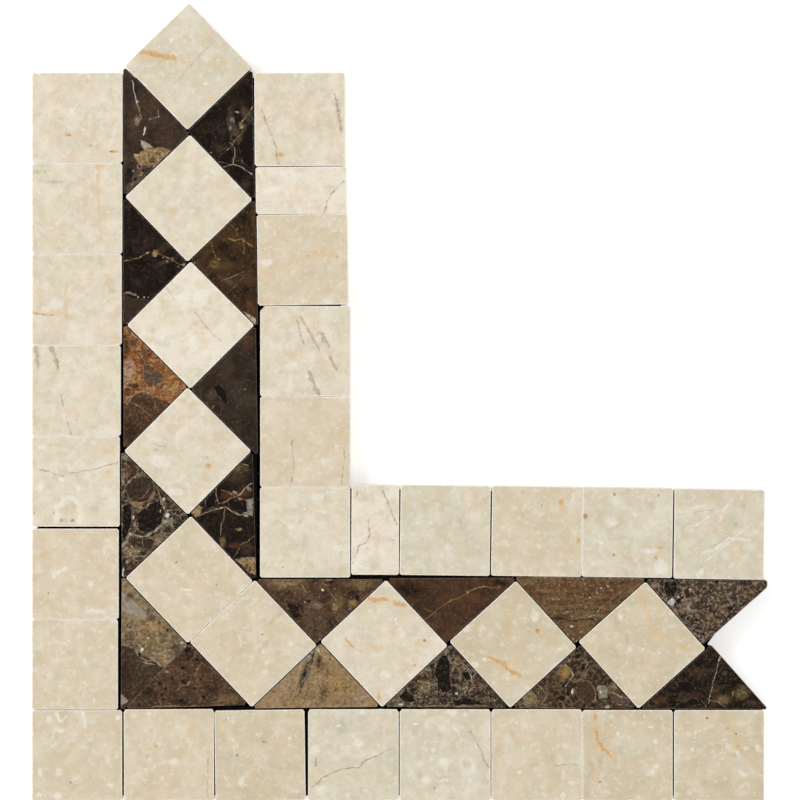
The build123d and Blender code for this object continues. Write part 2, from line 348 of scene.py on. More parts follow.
def buildChip(name, seed):
    corners, low, high = outlineOf(name)
    corners = grownOutline(name, corners)
    inward = mitres(corners)
    draw = random.Random(seed)
    eased = chip["arris"]["cream" if name.startswith("cream") else "brown"]
    samples = []  # (edge, share of the edge, distance along the outline in mm)
    travelled = 0.0
    for i, here in enumerate(corners):
        length = (corners[(i + 1) % len(corners)] - here).length
        steps = max(1, round(length / (chip["step"] * mm)))
        samples += [(i, j / steps, (travelled + length * j / steps) / mm) for j in range(steps)]
        travelled += length
    around = travelled / mm
    spalls = [(draw.uniform(0, around), draw.uniform(*chip["spallWidth"]), draw.uniform(*chip["spallDepth"]))
              for _ in range(int(around / chip["spallEvery"]))]

    def at(sample, inset, z):  # the point of a sample, moved inward by an inset in mm
        i, share, _ = sample
        j = (i + 1) % len(corners)
        a, b = corners[i] + inward[i] * inset * mm, corners[j] + inward[j] * inset * mm
        return (*(a * (1 - share) + b * share), z)

    def ripple(sample, height, grain):  # smooth noise from 0 to 1 along an edge
        angle = math.tau * sample[2] / around
        radius = around / math.tau / grain
        return 0.5 + 0.5 * noise.noise(Vector((radius * math.cos(angle), radius * math.sin(angle),
                                               height / grain + seed * 7.3)))

    radii = []
    for sample in samples:
        radius = eased * (1 + chip["arrisWander"] * (2 * ripple(sample, 0, 4.0) - 1))
        for place, width, depth in spalls:
            gap = abs((sample[2] - place + around / 2) % around - around / 2)
            radius += depth * max(0.0, 1 - (gap / width) ** 2)
        radii.append(min(radius, chip["widest"]))

    rings, wearAndHighlight, polish = [], [], []

    def addRing(points, bruiseAndHighlight, polished):
        rings.append(points)
        wearAndHighlight.append(bruiseAndHighlight)
        polish.append(polished)

    addRing([at(s, chip["backNip"] * ripple(s, 3, 1.5), low) for s in samples], 0.0, 0.0)
    for height in chip["sideHeights"]:
        addRing([at(s, chip["sawWander"] * ripple(s, height * 3, 2.2), low + height * mm) for s in samples],
                0.0, 0.0)
    # the arris rings carry the wear attribute, which the material turns into a paler arris: bruised stone
    # and a painted highlight
    addRing([at(s, 0, high - (r + chip["underArris"]) * mm) for s, r in zip(samples, radii)], 0.25, 0.0)
    for k in range(chip["arrisSteps"] + 1):
        turn = math.pi / 2 * k / chip["arrisSteps"]
        addRing([at(s, r * (1 - math.cos(turn)), high - r * (1 - math.sin(turn)) * mm)
                 for s, r in zip(samples, radii)], 1.0 if k < chip["arrisSteps"] else 0.8, 1.0)
    addRing([at(s, r + chip["holdLine"], high) for s, r in zip(samples, radii)], 0.0, 1.0)

    count = len(samples)
    vertices = [p for ring in rings for p in ring]
    faces = [[k + i, k + (i + 1) % count, k + count + (i + 1) % count, k + count + i]
             for k in range(0, (len(rings) - 1) * count, count) for i in range(count)]
    faces.append(list(reversed(range(count))))
    faces.append([(len(rings) - 1) * count + i for i in range(count)])
    if name in brokenCorners:
        sideX, sideY, size = brokenCorners[name]
        cornerX = (max if sideX > 0 else min)(v[0] for v in vertices)
        cornerY = (max if sideY > 0 else min)(v[1] for v in vertices)
        broken = []
        for x, y, z in vertices:
            near = (abs(x - cornerX) + abs(y - cornerY)) / mm / size
            drop = max(0.0, 1 - near)
            inside = size * drop * chip["brokenIn"] * mm
            broken.append((x - sideX * inside, y - sideY * inside,
                           z - drop * chip["brokenDrop"] * mm if z > high - chip["brokenDepth"] * mm else z))
        vertices = broken
    middleLow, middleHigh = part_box(name)
    middle = (middleLow + middleHigh) / 2
    middle.z = low
    piece = newObject(name.replace("square", "tessera").replace("triangle", "pocket") + "_stone",
                      [Vector(v) - middle for v in vertices], faces, middle)
    for attributeName, values in (("wearAndHighlight", wearAndHighlight), ("polish", polish)):
        attribute = piece.data.attributes.new(attributeName, "FLOAT", "POINT")
        attribute.data.foreach_set("value", [value for value in values for _ in range(count)])
    piece.data.polygons.foreach_set("use_smooth", [True] * len(piece.data.polygons))
    piece.data.set_sharp_from_angle(angle=math.radians(chip["sharpFrom"]))
    return piece


# Marks that can be told apart on each chip, as read: places and sizes in pixels of the photograph's
# 800 x 800 frame, y down. A wash or a spot is (paint, x, y, half length, half width, turn in degrees),
# a clast is (paint, corners), and a vein is (paint, half width, points).

photo = {
    "pixel": 0.3815,  # mm of the face that a pixel shows
    "left": 32.0,  # pixel column of the sheet's left edge
    "base": 801.6,  # pixel row of its lowest point
    "veinShare": {"cream": 1.05, "brown": 0.8},  # of the half width as read
    "specks": {"cream": (), "brown": ("white", "bone", "ebony")},  # paints whose spots were read too large
    "speckShare": 0.75,  # of the size as read, for those spots
}
chipLooks = {
    "cream_square_outer_up_7": {"tone": "light",
        "spots": [("ochre", 68.4, 135.3, 3.4, 1.4, 0), ("rust", 69.5, 135.2, 1.4, 0.6, 0),
            ("ochre", 113.5, 151.6, 4.4, 1.3, 0), ("rust", 112, 151.4, 2, 0.6, 0),
            ("ochre", 90.2, 145.5, 1.8, 1, -20), ("white", 72, 111, 2.6, 3.4, 20),
            ("amber", 56, 112, 5, 3.6, 0), ("pink", 43.5, 125, 3, 2, 0), ("pink", 52, 124.6, 2.6, 1.6, 0),
            ("white", 83.9, 130, 2, 1.6, 0)],
        "veins": [("white", 1, [(69, 109), (74.5, 114.5)])]},
    "cream_square_outer_up_6": {"tone": "light",
        "spots": [("amber", 100, 166, 5, 3, 0)],
        "veins": [("amber", 1.8, [(97.5, 167), (99, 190), (100, 215), (101, 240)]), ("grey", 2, [(33, 172),
            (50, 171)]), ("grey", 2, [(48, 182), (62, 182)])]},
    "cream_square_outer_up_5": {"tone": "light",
        "spots": [("white", 56, 304, 9, 6, 0), ("white", 46, 309, 6, 3, 0), ("amber", 74.5, 259, 3, 2.6, 0),
            ("amber", 83, 329.6, 3, 2.6, 0), ("ochre", 100.5, 262.5, 1.2, 1, 0),
            ("amber", 108.8, 284.4, 4, 3, 0), ("pink", 100.7, 263, 4, 3, 0), ("grey", 112, 291, 4, 3, 0),
            ("amber", 117, 338, 4, 5, 0)],
        "veins": [("ochre", 0.8, [(33, 314), (44, 315), (53, 315.5)]), ("amber", 1.7, [(50, 315), (62, 314),
            (72, 319)]), ("amber", 2, [(67, 284), (66, 296), (66.5, 309)])]},
    "cream_square_outer_up_4": {"tone": "light",
        "veins": [("smudge", 2.2, [(34.7, 347.7), (37, 357), (38.5, 366)]), ("smudge", 2.4, [(52.2, 347.7),
            (57, 368)]), ("crack", 0.5, [(56, 358), (57.5, 368)]), ("crack", 0.7, [(60.3, 395),
            (63.7, 405.6)]), ("crack", 0.6, [(66.4, 417.8), (68.5, 426), (71, 434)])]},
    "cream_square_outer_up_3": {"tone": "light",
        "spots": [("pink", 68, 509, 4, 5, 0), ("grey", 65, 519.5, 4.5, 3, 0),
            ("rust", 72.4, 520.3, 2, 1.8, 0), ("amber", 106, 451.6, 7, 5, 20), ("amber", 108, 472, 4, 3, 0),
            ("white", 61.7, 479.3, 4, 2.5, 0), ("white", 77.8, 488.7, 3, 3.4, 0),
            ("white", 41.5, 447, 5, 3, 0), ("white", 41.5, 487, 2.6, 7, 0), ("crack", 34.7, 513, 0.9, 1, 0),
            ("crack", 53.6, 513, 0.9, 1, 0), ("crack", 62.4, 520.6, 2.4, 1.5, 0)],
        "veins": [("white", 3, [(57, 521), (57.5, 508), (62, 500.5), (69, 497.5), (76, 500.5), (80, 508),
            (80.5, 521)]), ("crack", 0.7, [(38, 469), (52, 472.5), (63.7, 476)]),
            ("crack", 0.5, [(69.7, 472.5), (92, 470), (118, 462.4)])]},
    "cream_square_outer_up_2": {"tone": "rosy",
        "spots": [("white", 90.6, 584.3, 3, 3.4, 0), ("white", 104.8, 552, 2, 4, 0),
            ("white", 95.3, 611.6, 11, 3.4, 0), ("crack", 48, 592.4, 1, 1.6, 20),
            ("amber", 43, 555, 5, 4, 0)],
        "veins": [("white", 2.2, [(54, 576), (60, 571.5), (66, 567)])]},
    "cream_square_outer_up_1": {"tone": "warm",
        "spots": [("white", 43.4, 664.6, 1.5, 1.5, 0), ("white", 74.5, 673, 1.7, 2, 0),
            ("white", 85.2, 660.6, 2, 2.6, 0), ("white", 80.5, 690.9, 1.5, 1.5, 0),
            ("white", 112.8, 647, 2.6, 2.8, 0), ("white", 94, 699.6, 1.6, 1.8, 0),
            ("amber", 41.5, 658, 2.6, 3.4, 0), ("amber", 47, 694, 2.4, 3.4, 0), ("pink", 83, 679, 4, 4, 0),
            ("amber", 95, 700, 2, 2, 0), ("white", 69, 640, 2, 1.6, 0), ("white", 60, 686, 1.4, 1.4, 0)]},
    "cream_square_outer_corner": {"tone": "warm",
        "spots": [("white", 48.9, 719.9, 3.6, 5, 0), ("white", 59.6, 730.6, 5, 2.5, 0),
            ("white", 40, 772.4, 3, 5, -20), ("white", 59, 772, 4, 4.5, 0), ("white", 57.6, 796, 5, 4, 0),
            ("white", 39, 796, 3, 3, 0), ("white", 110, 784.5, 4, 2, 0), ("white", 118, 718, 3, 2.5, 0),
            ("pink", 46, 724.5, 2.4, 2.2, 0), ("crack", 70.5, 783, 1.2, 1, 0)],
        "veins": [("white", 1.4, [(57, 713.5), (58.5, 719.5), (63, 721.5), (67, 716)]),
            ("white", 1.3, [(83.9, 712), (84.6, 719), (85.2, 727)])]},
    "cream_square_outer_right_1": {"tone": "rosy",
        "spots": [("ochre", 156.6, 746.3, 1.7, 1.3, 0), ("white", 173.4, 761.6, 6, 3.5, -20),
            ("amber", 191.6, 731, 6, 5, 0), ("white", 149, 714, 2, 1.8, 0), ("amber", 181, 752, 6, 3, 0)],
        "veins": [("grey", 1.2, [(148.5, 755), (146, 761), (144.5, 767)]), ("crack", 0.35, [(207.8, 757.6),
            (207.8, 780), (207.8, 799)])]},
    "cream_square_outer_right_2": {"tone": "dull",
        "spots": [("grey", 264.4, 741.4, 3.6, 2.6, 0), ("crack", 264.4, 741.2, 2.8, 1.7, 0),
            ("crack", 237, 755, 1.4, 2, 30), ("amber", 223, 729, 3.6, 12, 0),
            ("ochre", 226.5, 720, 1, 1.4, 0), ("grey", 229, 757, 6, 6, 0), ("amber", 277, 745, 6, 4, 0),
            ("white", 241.5, 781, 3, 5.5, 30), ("white", 228.7, 718.5, 1.6, 1.6, 0),
            ("white", 289.4, 738, 1.6, 1.8, 0), ("grey", 250, 763, 4, 3, 0)]},
    "cream_square_outer_right_3": {"tone": "pale",
        "spots": [("amber", 317, 784, 5, 2.6, 30), ("grey", 345.2, 721, 8, 6, 0),
            ("grey", 340, 731, 5, 5, 0), ("white", 358.7, 742.7, 5, 5, 0), ("white", 315, 750, 6, 5, 0),
            ("white", 321, 790, 7, 6, 0), ("white", 338, 726, 3.4, 1.6, 0),
            ("amber", 329, 746.8, 4.4, 3, 0), ("white", 362, 712, 3, 2, 0)],
        "veins": [("crack", 0.75, [(313, 786), (323, 777.5), (335.8, 771), (347, 768), (358.7, 767),
            (366, 761), (374.9, 757.6), (393.7, 746.8)]), ("crack", 0.7, [(316.6, 758.5), (315.3, 766)])]},
    "cream_square_outer_right_4": {"tone": "pale",
        "spots": [("white", 444.4, 763, 6, 5.4, 0), ("white", 425.6, 780.5, 5, 4, -20),
            ("white", 472.7, 767, 2.6, 4.5, 0), ("pink", 457.9, 721.2, 10, 3, 0),
            ("white", 451, 712, 8, 3, 0), ("white", 465, 715, 3, 2.5, 0), ("white", 415, 724, 4, 1.5, 0),
            ("crack", 434, 789, 1.1, 2.4, 0), ("grey", 467, 764, 5, 4, 0), ("grey", 419, 775, 4, 4, 0),
            ("white", 433, 750, 3, 3, 0)],
        "veins": [("crack", 0.7, [(470.5, 731), (475, 741), (480.8, 749.5), (483.5, 760.3), (489, 767.5)]),
            ("white", 1.4, [(438, 782), (447.5, 780)]), ("white", 1.2, [(453, 727), (460, 734)])]},
    "cream_square_outer_right_5": {"tone": "warm",
        "spots": [("grey", 554.2, 758.2, 4, 6, -30), ("white", 563.6, 775, 3, 5.5, 0),
            ("white", 563, 796, 3, 4, 0), ("grey", 534, 766, 4, 3, 0), ("white", 519, 773, 3, 2, 0),
            ("white", 572, 784, 3, 3, 0), ("pink", 516, 712, 4, 4, 0)],
        "veins": [("crack", 0.5, [(554.9, 765.4), (567, 764.6), (579, 765.6)]), ("amber", 1.8, [(510, 729),
            (513, 736), (517, 743)])]},
    "cream_square_outer_right_6": {"tone": "dull",
        "spots": [("rust", 600.6, 744, 1.7, 1.5, 0), ("ochre", 595.2, 717.2, 2.2, 3.8, 0),
            ("rust", 600, 782, 1.5, 1.5, 0), ("white", 655.8, 741.4, 3, 3, 0),
            ("white", 650.4, 772.4, 4.6, 3, -20), ("white", 656, 767, 3, 2, 0),
            ("amber", 629, 777, 3, 3.4, 0), ("white", 644, 715.6, 1.5, 1.5, 0),
            ("white", 618.5, 733.5, 1.8, 2.4, 0), ("white", 651, 727.5, 3, 1.5, 0),
            ("grey", 600.5, 763, 3.4, 9, 0), ("amber", 643, 793, 3, 4, 0), ("grey", 590, 770, 5, 10, 0)],
        "veins": [("amber", 3.6, [(596.2, 729), (598.2, 742), (604, 751), (611, 756.5), (618, 761)]),
            ("ochre", 1.5, [(596.6, 733), (599.2, 743), (605, 750), (611, 756.5)]),
            ("amber", 2, [(594.5, 746), (596.5, 768), (599, 784)])]},
    "cream_square_outer_right_7": {"tone": "dull",
        "spots": [("amber", 728, 728, 5.5, 4.6, 0), ("ochre", 727.8, 728, 2.2, 1.8, 0),
            ("ochre", 738.5, 746, 1.6, 2.6, -30), ("amber", 736.6, 742, 4, 4, 0),
            ("amber", 734, 720, 5, 5, 0), ("rust", 707, 717.8, 1.3, 1.5, 0),
            ("rust", 735.9, 734.4, 1, 1, 0), ("white", 692.2, 749.5, 2.6, 2.6, 0),
            ("white", 746, 748, 3, 3, 0), ("white", 758, 748, 3, 4, 0), ("white", 738, 753.5, 1.8, 3, 0),
            ("white", 695, 733, 1.4, 3, 0), ("white", 744, 774, 4, 3, 0), ("pink", 761, 755, 3, 5, 0),
            ("grey", 705, 783, 5, 5, 0)],
        "veins": [("amber", 2.6, [(731, 733), (737, 742), (741, 750)]), ("grey", 0.9, [(743, 738.7),
            (751, 737.6), (762, 735.4)])]},
    "cream_square_inner_up_5": {"tone": "light",
        "spots": [("ochre", 280.6, 154.3, 3.2, 2.4, 0), ("grey", 338, 108, 3, 10, 0)],
        "veins": [("crack", 0.85, [(261.8, 110), (265, 120), (268.5, 127.3), (272, 137), (276, 147.5),
            (278, 164)]), ("crack", 1.2, [(335, 93), (337, 103), (338.5, 114), (340.6, 129)])]},
    "cream_closer_inner_up": {"tone": "bright",
        "veins": [("crack", 0.75, [(344, 181), (337, 188), (330.5, 196), (326, 204), (323.7, 213.5)])]},
    "cream_square_inner_up_3": {"tone": "rosy",
        "spots": [("white", 266, 262, 5.5, 3.4, 0), ("ochre", 308.5, 255.5, 1.6, 1, 0),
            ("ochre", 337, 257, 1.4, 1, 0), ("white", 304.7, 301, 4, 2.5, 0),
            ("white", 329, 301, 5, 2.5, 0)],
        "veins": [("amber", 2.6, [(258, 273), (272, 267), (288, 263), (303, 259), (318, 253), (336, 256)]),
            ("amber", 1.1, [(288, 260), (299, 258), (308, 255)])]},
    "cream_square_inner_up_2": {"tone": "light",
        "spots": [("white", 295, 364.5, 3, 2.5, 0), ("white", 307.4, 376.6, 3, 2, 0)],
        "veins": [("crack", 0.85, [(297.3, 320), (300, 331), (304.7, 344.3)]),
            ("crack", 1.1, [(300.6, 317.3), (309, 331), (319.5, 349.7)]), ("smudge", 2.4, [(319.5, 332.5),
            (324, 339), (328.5, 346.5)]), ("crack", 0.5, [(322, 334), (329, 345)]),
            ("smudge", 1.6, [(330.3, 357.7), (334, 365), (337, 371)]), ("smudge", 2.8, [(310.5, 374),
            (314, 384), (319, 395.4)]), ("crack", 0.5, [(312, 378), (316, 388), (319, 395)])]},
    "cream_square_inner_up_1": {"tone": "rosy",
        "spots": [("white", 323.2, 461, 3, 5, 0), ("pink", 272.6, 471, 4, 4, 0),
            ("amber", 341, 433, 4, 6, 0)],
        "veins": [("crack", 0.6, [(291.5, 440), (293.4, 462), (292.3, 475), (290.2, 487)]),
            ("crack", 0.55, [(344.5, 446), (343.4, 466), (341, 485)])]},
    "cream_square_inner_corner": {"tone": "light",
        "spots": [("white", 289.6, 526.7, 3.6, 3.2, 0), ("white", 318, 497, 6, 4, 0),
            ("white", 337, 549, 5, 5, 0), ("crack", 282.8, 567, 1.2, 1.3, 0), ("pink", 279, 512, 5, 4, 0),
            ("grey", 320, 498, 2, 1.6, 0)],
        "veins": [("amber", 0.9, [(279, 503), (280.2, 492)])]},
    "cream_closer_inner_right": {"tone": "bright",
        "spots": [("white", 364, 545, 3.4, 3, 0), ("white", 361, 538.5, 2.4, 1.2, -20)],
        "veins": [("crack", 0.9, [(382, 490), (386, 498), (390.5, 508), (396, 524.6)]),
            ("crack", 0.8, [(367.7, 519.3), (368.4, 527), (370.4, 534), (367, 542), (359, 546),
            (354.9, 559.7), (350.8, 568)]), ("crack", 0.5, [(357.5, 489.6), (355.5, 497.7)]),
            ("crack", 0.45, [(365.6, 487), (366.3, 492.3)]), ("grey", 0.6, [(391, 540), (398, 541.5)])]},
    "cream_square_inner_right_2": {"tone": "pale",
        "spots": [("grey", 462.7, 520, 7, 11, 0), ("grey", 468, 538, 6, 9, 0),
            ("amber", 485.6, 499.6, 2, 4, 0), ("pink", 418.9, 553, 4, 2.5, 0),
            ("grey", 414, 558, 8, 3.4, 0), ("white", 418, 523, 2, 1.6, 0), ("white", 430.4, 522.5, 2, 2, 0),
            ("white", 447, 547, 2, 5, 0), ("crack", 422, 539, 0.8, 1, 0)]},
    "cream_square_inner_right_3": {"tone": "warm",
        "spots": [("ochre", 561, 502.3, 2, 2.4, 0), ("amber", 562, 506, 3.4, 5, 0),
            ("grey", 523, 515.8, 1.8, 2.6, 0), ("grey", 523, 553.5, 1.8, 2.6, 0),
            ("crack", 542, 506, 1.2, 1.2, 0), ("grey", 523.3, 492.5, 2.2, 3.2, 0),
            ("white", 538.8, 546.8, 2.2, 3, 0), ("ochre", 578.5, 541, 1.8, 2.6, 0),
            ("amber", 507, 522, 3.4, 5, 0)]},
    "cream_square_inner_right_4": {"tone": "pale",
        "spots": [("rust", 585.1, 515.8, 2.4, 3, 0), ("rust", 614.5, 493.6, 1.2, 1.4, 0),
            ("crack", 657.8, 495.6, 1.1, 1.5, 0), ("rust", 613.4, 554.8, 1.6, 1.6, 0),
            ("ochre", 656.5, 557.5, 1.5, 2, 0), ("grey", 653, 506.4, 3.4, 4.6, 0),
            ("white", 661.2, 568, 8, 8, 0), ("white", 650, 551, 9, 3, 0), ("white", 612, 522, 6, 5, 0),
            ("white", 583, 509, 1.2, 7, 0), ("white", 601, 542.5, 2.5, 2, 0),
            ("ochre", 660.5, 548.5, 2.4, 1.6, 0), ("amber", 659.8, 548.5, 6, 5, 0),
            ("amber", 631, 558, 3, 2, 0), ("grey", 626, 572, 5, 3, 0)]},
    "cream_square_inner_right_5": {"tone": "pale",
        "spots": [("grey", 735.3, 524.5, 2.2, 2.6, 0), ("grey", 744, 507, 3, 4, 0),
            ("white", 700, 574, 4, 6, 20), ("amber", 679, 505, 5, 4, 0), ("pink", 744.6, 536.7, 6, 3, 0),
            ("amber", 739, 554, 5, 3, 0), ("white", 702, 573, 2, 3, 0)],
        "veins": [("grey", 0.9, [(677.4, 514.6), (687, 513.5), (696, 511.8), (704, 510), (713.7, 510.4)]),
            ("grey", 0.8, [(724, 541), (731, 530), (735.3, 524.5)]), ("grey", 0.7, [(696, 552), (712, 546),
            (726, 541)]), ("white", 1.4, [(702, 554), (715, 550), (728, 539), (750, 540)]),
            ("white", 1.1, [(690, 508.5), (706, 505)]), ("white", 1, [(706, 562), (722, 549), (737, 536),
            (748, 527)]), ("white", 0.8, [(719, 522), (727, 506), (732, 498)]), ("white", 0.8, [(683, 531),
            (697, 524), (709, 516)])]},
    "cream_bias_square_up_5": {"tone": "pale",
        "spots": [("amber", 184, 61, 3.4, 2, 0), ("amber", 224.5, 62.6, 6, 3, 0),
            ("ochre", 189, 61.5, 1, 1, 0), ("white", 205, 84, 2, 2, 0), ("white", 171, 40, 2, 3, 0)],
        "veins": [("ochre", 2.6, [(139.8, 51.8), (150, 53.5), (158, 55.4), (174.8, 58.6)]),
            ("grey", 0.8, [(216.5, 39.7), (210, 45), (203, 52), (190, 66), (177.5, 81.5), (168, 91.6)])]},
    "cream_bias_square_up_4": {"tone": "light",
        "spots": [("amber", 172, 214, 6, 5, 0), ("pink", 201, 188, 6, 5, 0), ("white", 190, 226, 3, 2, 0)]},
    "cream_bias_square_up_3": {"tone": "bright",
        "veins": [("grey", 1.3, [(166.7, 288.5), (170, 293), (174.8, 299.3)]), ("crack", 0.6, [(195, 312.7),
            (201, 319), (205.8, 326.2), (212, 333), (220.6, 341)])]},
    "cream_bias_square_up_2": {"tone": "light",
        "spots": [("grey", 165.4, 445.6, 3.4, 2.6, 0), ("grey", 156, 450, 3, 2, 0),
            ("pink", 164, 465, 3.4, 3, 0), ("pink", 163, 478, 3.6, 2.6, 0), ("white", 160, 461, 10, 7, 20),
            ("ochre", 208.5, 465.8, 3.4, 2.4, 0), ("grey", 206, 458, 5, 2.4, 0),
            ("grey", 198, 466, 3, 2.4, 0), ("amber", 183, 401.6, 4.6, 3, 0), ("white", 176, 492, 8, 4, 0)],
        "veins": [("grey", 1, [(153, 443), (160, 446), (167, 447.5)])]},
    "cream_bias_square_up_1": {"tone": "warm",
        "spots": [("rust", 216, 585, 0.9, 0.9, 0), ("pink", 186, 570, 4, 3, 0), ("pink", 180, 583, 4, 3, 0),
            ("white", 186, 590, 6, 1.6, 0), ("crack", 176, 562, 1, 1.6, 0)]},
    "cream_bias_square_right_1": {"tone": "warm",
        "spots": [("rust", 262.7, 634.7, 1, 1, 0), ("white", 239, 638, 1, 5, -20),
            ("amber", 272, 635, 3, 3, 0)],
        "veins": [("grey", 2, [(281, 613.5), (276, 618), (271.5, 623)]), ("grey", 2.4, [(267.5, 641),
            (264, 646), (260.6, 651)])]},
    "cream_bias_square_right_2": {"tone": "light",
        "spots": [("amber", 379, 695, 2.6, 7, 0), ("ochre", 379.5, 697, 1.2, 3, 0),
            ("white", 403, 635, 3.2, 3.2, 0), ("white", 385.6, 675.4, 6, 5, 0),
            ("rust", 424, 640.4, 1.8, 1.5, 0), ("amber", 419, 642, 5, 4, 0), ("white", 417, 610, 3, 3, 0),
            ("amber", 416, 661, 3, 4, 0), ("rust", 414, 665, 1, 1, 0), ("white", 396, 619.5, 2, 1.8, 0),
            ("amber", 375, 647, 8, 5, 0)],
        "veins": [("ochre", 2.3, [(367, 597), (377, 600), (387.2, 600)]), ("ochre", 2.5, [(395, 603),
            (403, 605)]), ("ochre", 1.4, [(346, 638.5), (349.5, 643), (353.3, 647.5)]),
            ("amber", 0.9, [(353.3, 647.5), (360, 651), (366.8, 653.9)])]},
    "cream_bias_square_right_3": {"tone": "dull",
        "spots": [("rust", 503.7, 663.4, 1.6, 1.2, 0), ("amber", 507, 665, 10, 4, -30),
            ("ochre", 537.4, 630.8, 2.6, 2.6, 0), ("rust", 537.2, 630, 1.2, 1.2, 0),
            ("amber", 542, 634, 5, 4, 0), ("amber", 556, 641, 4, 7, 0), ("amber", 468.5, 654, 3, 8, 0),
            ("white", 484.8, 659.3, 2.4, 2, 0), ("white", 535, 616, 5, 6, 0),
            ("white", 475, 665, 4, 3.4, 0), ("white", 561, 649, 2.4, 2, 0), ("grey", 496.4, 641, 5, 3.6, 0),
            ("amber", 507, 625, 5, 10, 0), ("white", 466, 628, 5, 4, 0)],
        "veins": [("ochre", 2.2, [(491, 658.5), (497, 661), (503.7, 664.6), (508, 669.5), (513, 673.5),
            (520, 675.6)])]},
    "cream_bias_square_right_4": {"tone": "dull",
        "spots": [("amber", 640, 596, 6, 8, 0), ("pink", 650, 628, 4, 4, 0),
            ("white", 630.4, 650, 3, 3.4, 0), ("white", 621, 617, 3, 5, 0), ("white", 643, 649, 2, 2, 0),
            ("grey", 628, 640, 3, 7, 0), ("white", 621, 594, 4, 3, 0)],
        "veins": [("amber", 2.8, [(644, 606), (650, 618), (656, 630), (664, 637), (676, 644), (690, 652)])]},
    "brown_triangle_outer_up_4": {"tone": "taupe",
        "washes": [("walnut", 150, 100, 12, 14, 0), ("rose", 137, 121, 3.5, 6, 0),
            ("ebony", 130, 172, 5, 10, 0), ("walnut", 165, 135, 10, 8, 0)],
        "clasts": [("tan", [(133, 157), (143, 150), (163, 147.5), (171, 151), (158, 164), (146, 163),
            (140, 166)]), ("taupe", [(139, 168), (146, 163), (158, 163), (129, 191.5), (125.5, 190)]),
            ("bone", [(141, 139.5), (144.5, 141), (147, 146), (153, 148), (144, 149.5), (141.5, 145)])],
        "spots": [("bone", 137.6, 102, 1.6, 2.2, 20), ("rose", 139.5, 167, 3, 3, 0),
            ("ebony", 139.5, 167, 1.8, 2, 0), ("ebony", 136, 179, 2.6, 1.6, 30),
            ("bone", 136, 155, 3.6, 2.2, 10), ("bone", 133.5, 171, 1.4, 2, 0),
            ("walnut", 152, 160, 4, 2.4, -30), ("bone", 154, 166, 2.6, 1.6, -40),
            ("ebony", 131, 181, 1.6, 1, 0), ("ebony", 146, 163, 2, 1, 30), ("walnut", 158, 154, 3, 1.6, 20),
            ("ebony", 143, 171, 2, 1.2, -40), ("shade", 148, 169, 6, 3, -45),
            ("ebony", 149, 156, 1.2, 0.8, 0), ("walnut", 163, 151, 2, 1, 0),
            ("bone", 146, 154, 2.4, 1.2, 20), ("bone", 155, 151.5, 2, 1, 0),
            ("ebony", 154, 162, 1.4, 0.8, 0), ("tan", 149, 166, 3, 1.6, -40),
            ("tan", 141, 174, 2.6, 1.4, -45), ("tan", 133, 184, 2.4, 1.4, -45),
            ("tan", 137, 180, 1.4, 1.2, 0)],
        "veins": [("white", 0.6, [(132.7, 81), (134.2, 92), (137, 102)]), ("tan", 1.1, [(137.6, 103.5),
            (140, 112), (141.5, 119)]), ("white", 1, [(144.6, 128), (144.6, 131.5), (143.2, 135.5)]),
            ("tan", 0.5, [(148.5, 120.5), (154, 118.8), (159.5, 117)]), ("bone", 0.5, [(157.8, 110),
            (159, 117)]), ("tan", 0.7, [(147, 150), (157, 153), (164, 151)])]},
    "brown_triangle_inner_up_4": {"tone": "ebony",
        "washes": [("taupe", 247, 115, 4.5, 12, -25), ("taupe", 236, 134, 6, 12, -30),
            ("walnut", 221, 150, 5, 11, -48), ("walnut", 231, 112, 4, 7, 0), ("ebony", 246, 148, 6, 16, 0),
            ("walnut", 246, 184, 5, 5, 0)],
        "clasts": [("ebony", [(230, 146), (233.5, 156), (230.5, 164), (219, 162), (221.5, 151)]),
            ("ebony", [(247, 128), (253, 118), (253, 168), (243, 163), (238, 146)])],
        "spots": [("taupe", 231, 124, 4.4, 8, -20), ("smoke", 232, 120, 3, 2.6, 30),
            ("taupe", 243, 127, 3.6, 4.6, -30), ("bone", 238, 112.3, 3.2, 1.5, 10),
            ("smoke", 230.5, 128, 1.6, 2.6, 0), ("smoke", 242, 127, 2, 2, 0),
            ("taupe", 234, 137, 4.4, 4.4, 0), ("ebony", 234, 137, 3, 3, 0),
            ("tan", 241, 126, 1.4, 3.4, -25), ("bone", 212, 153, 1.2, 1.2, 0),
            ("ebony", 236, 121.5, 2, 2.6, 0)],
        "veins": [("tan", 0.8, [(252.4, 106), (249, 113), (243, 121), (240, 129)]),
            ("bone", 0.6, [(230, 142), (233.5, 147), (235, 155), (233.5, 163.3)]),
            ("bone", 0.6, [(233.3, 163.5), (228, 165.5), (223.5, 167)]), ("bone", 0.7, [(233.3, 163.5),
            (241, 166.5), (247, 171.5), (253, 175)]), ("tan", 0.6, [(222, 154), (230, 148), (235, 140),
            (243, 131)])]},
    "brown_triangle_outer_up_3": {"tone": "ebony",
        "washes": [("walnut", 163, 249, 3.5, 18, 58), ("walnut", 165, 262, 3, 14, 65)],
        "clasts": [("cocoa", [(124, 296.5), (151, 300), (127.5, 323), (124, 322)])],
        "spots": [("tan", 155.5, 252.5, 3, 4, 20), ("rust", 154.5, 249.5, 1.4, 1, 0),
            ("gold", 172, 259.3, 1.3, 2.2, 0), ("bone", 156, 256, 2, 1, 0), ("bone", 178.4, 267, 0.9, 1, 0),
            ("bone", 183.5, 265, 1.6, 2, 0), ("white", 138.3, 296.4, 1.1, 1.2, 0),
            ("white", 144.2, 297, 1.3, 1, 0), ("white", 147.8, 297.2, 0.9, 0.8, 0),
            ("tan", 163, 258, 1.2, 0.8, 20), ("tan", 167, 261.5, 1.1, 0.8, 20)],
        "veins": [("tan", 0.9, [(124, 262), (130, 260), (138, 257.5), (145, 254.5), (150, 252)]),
            ("tan", 0.5, [(158, 253), (165, 257), (172, 259.5), (178, 263), (183, 266)]),
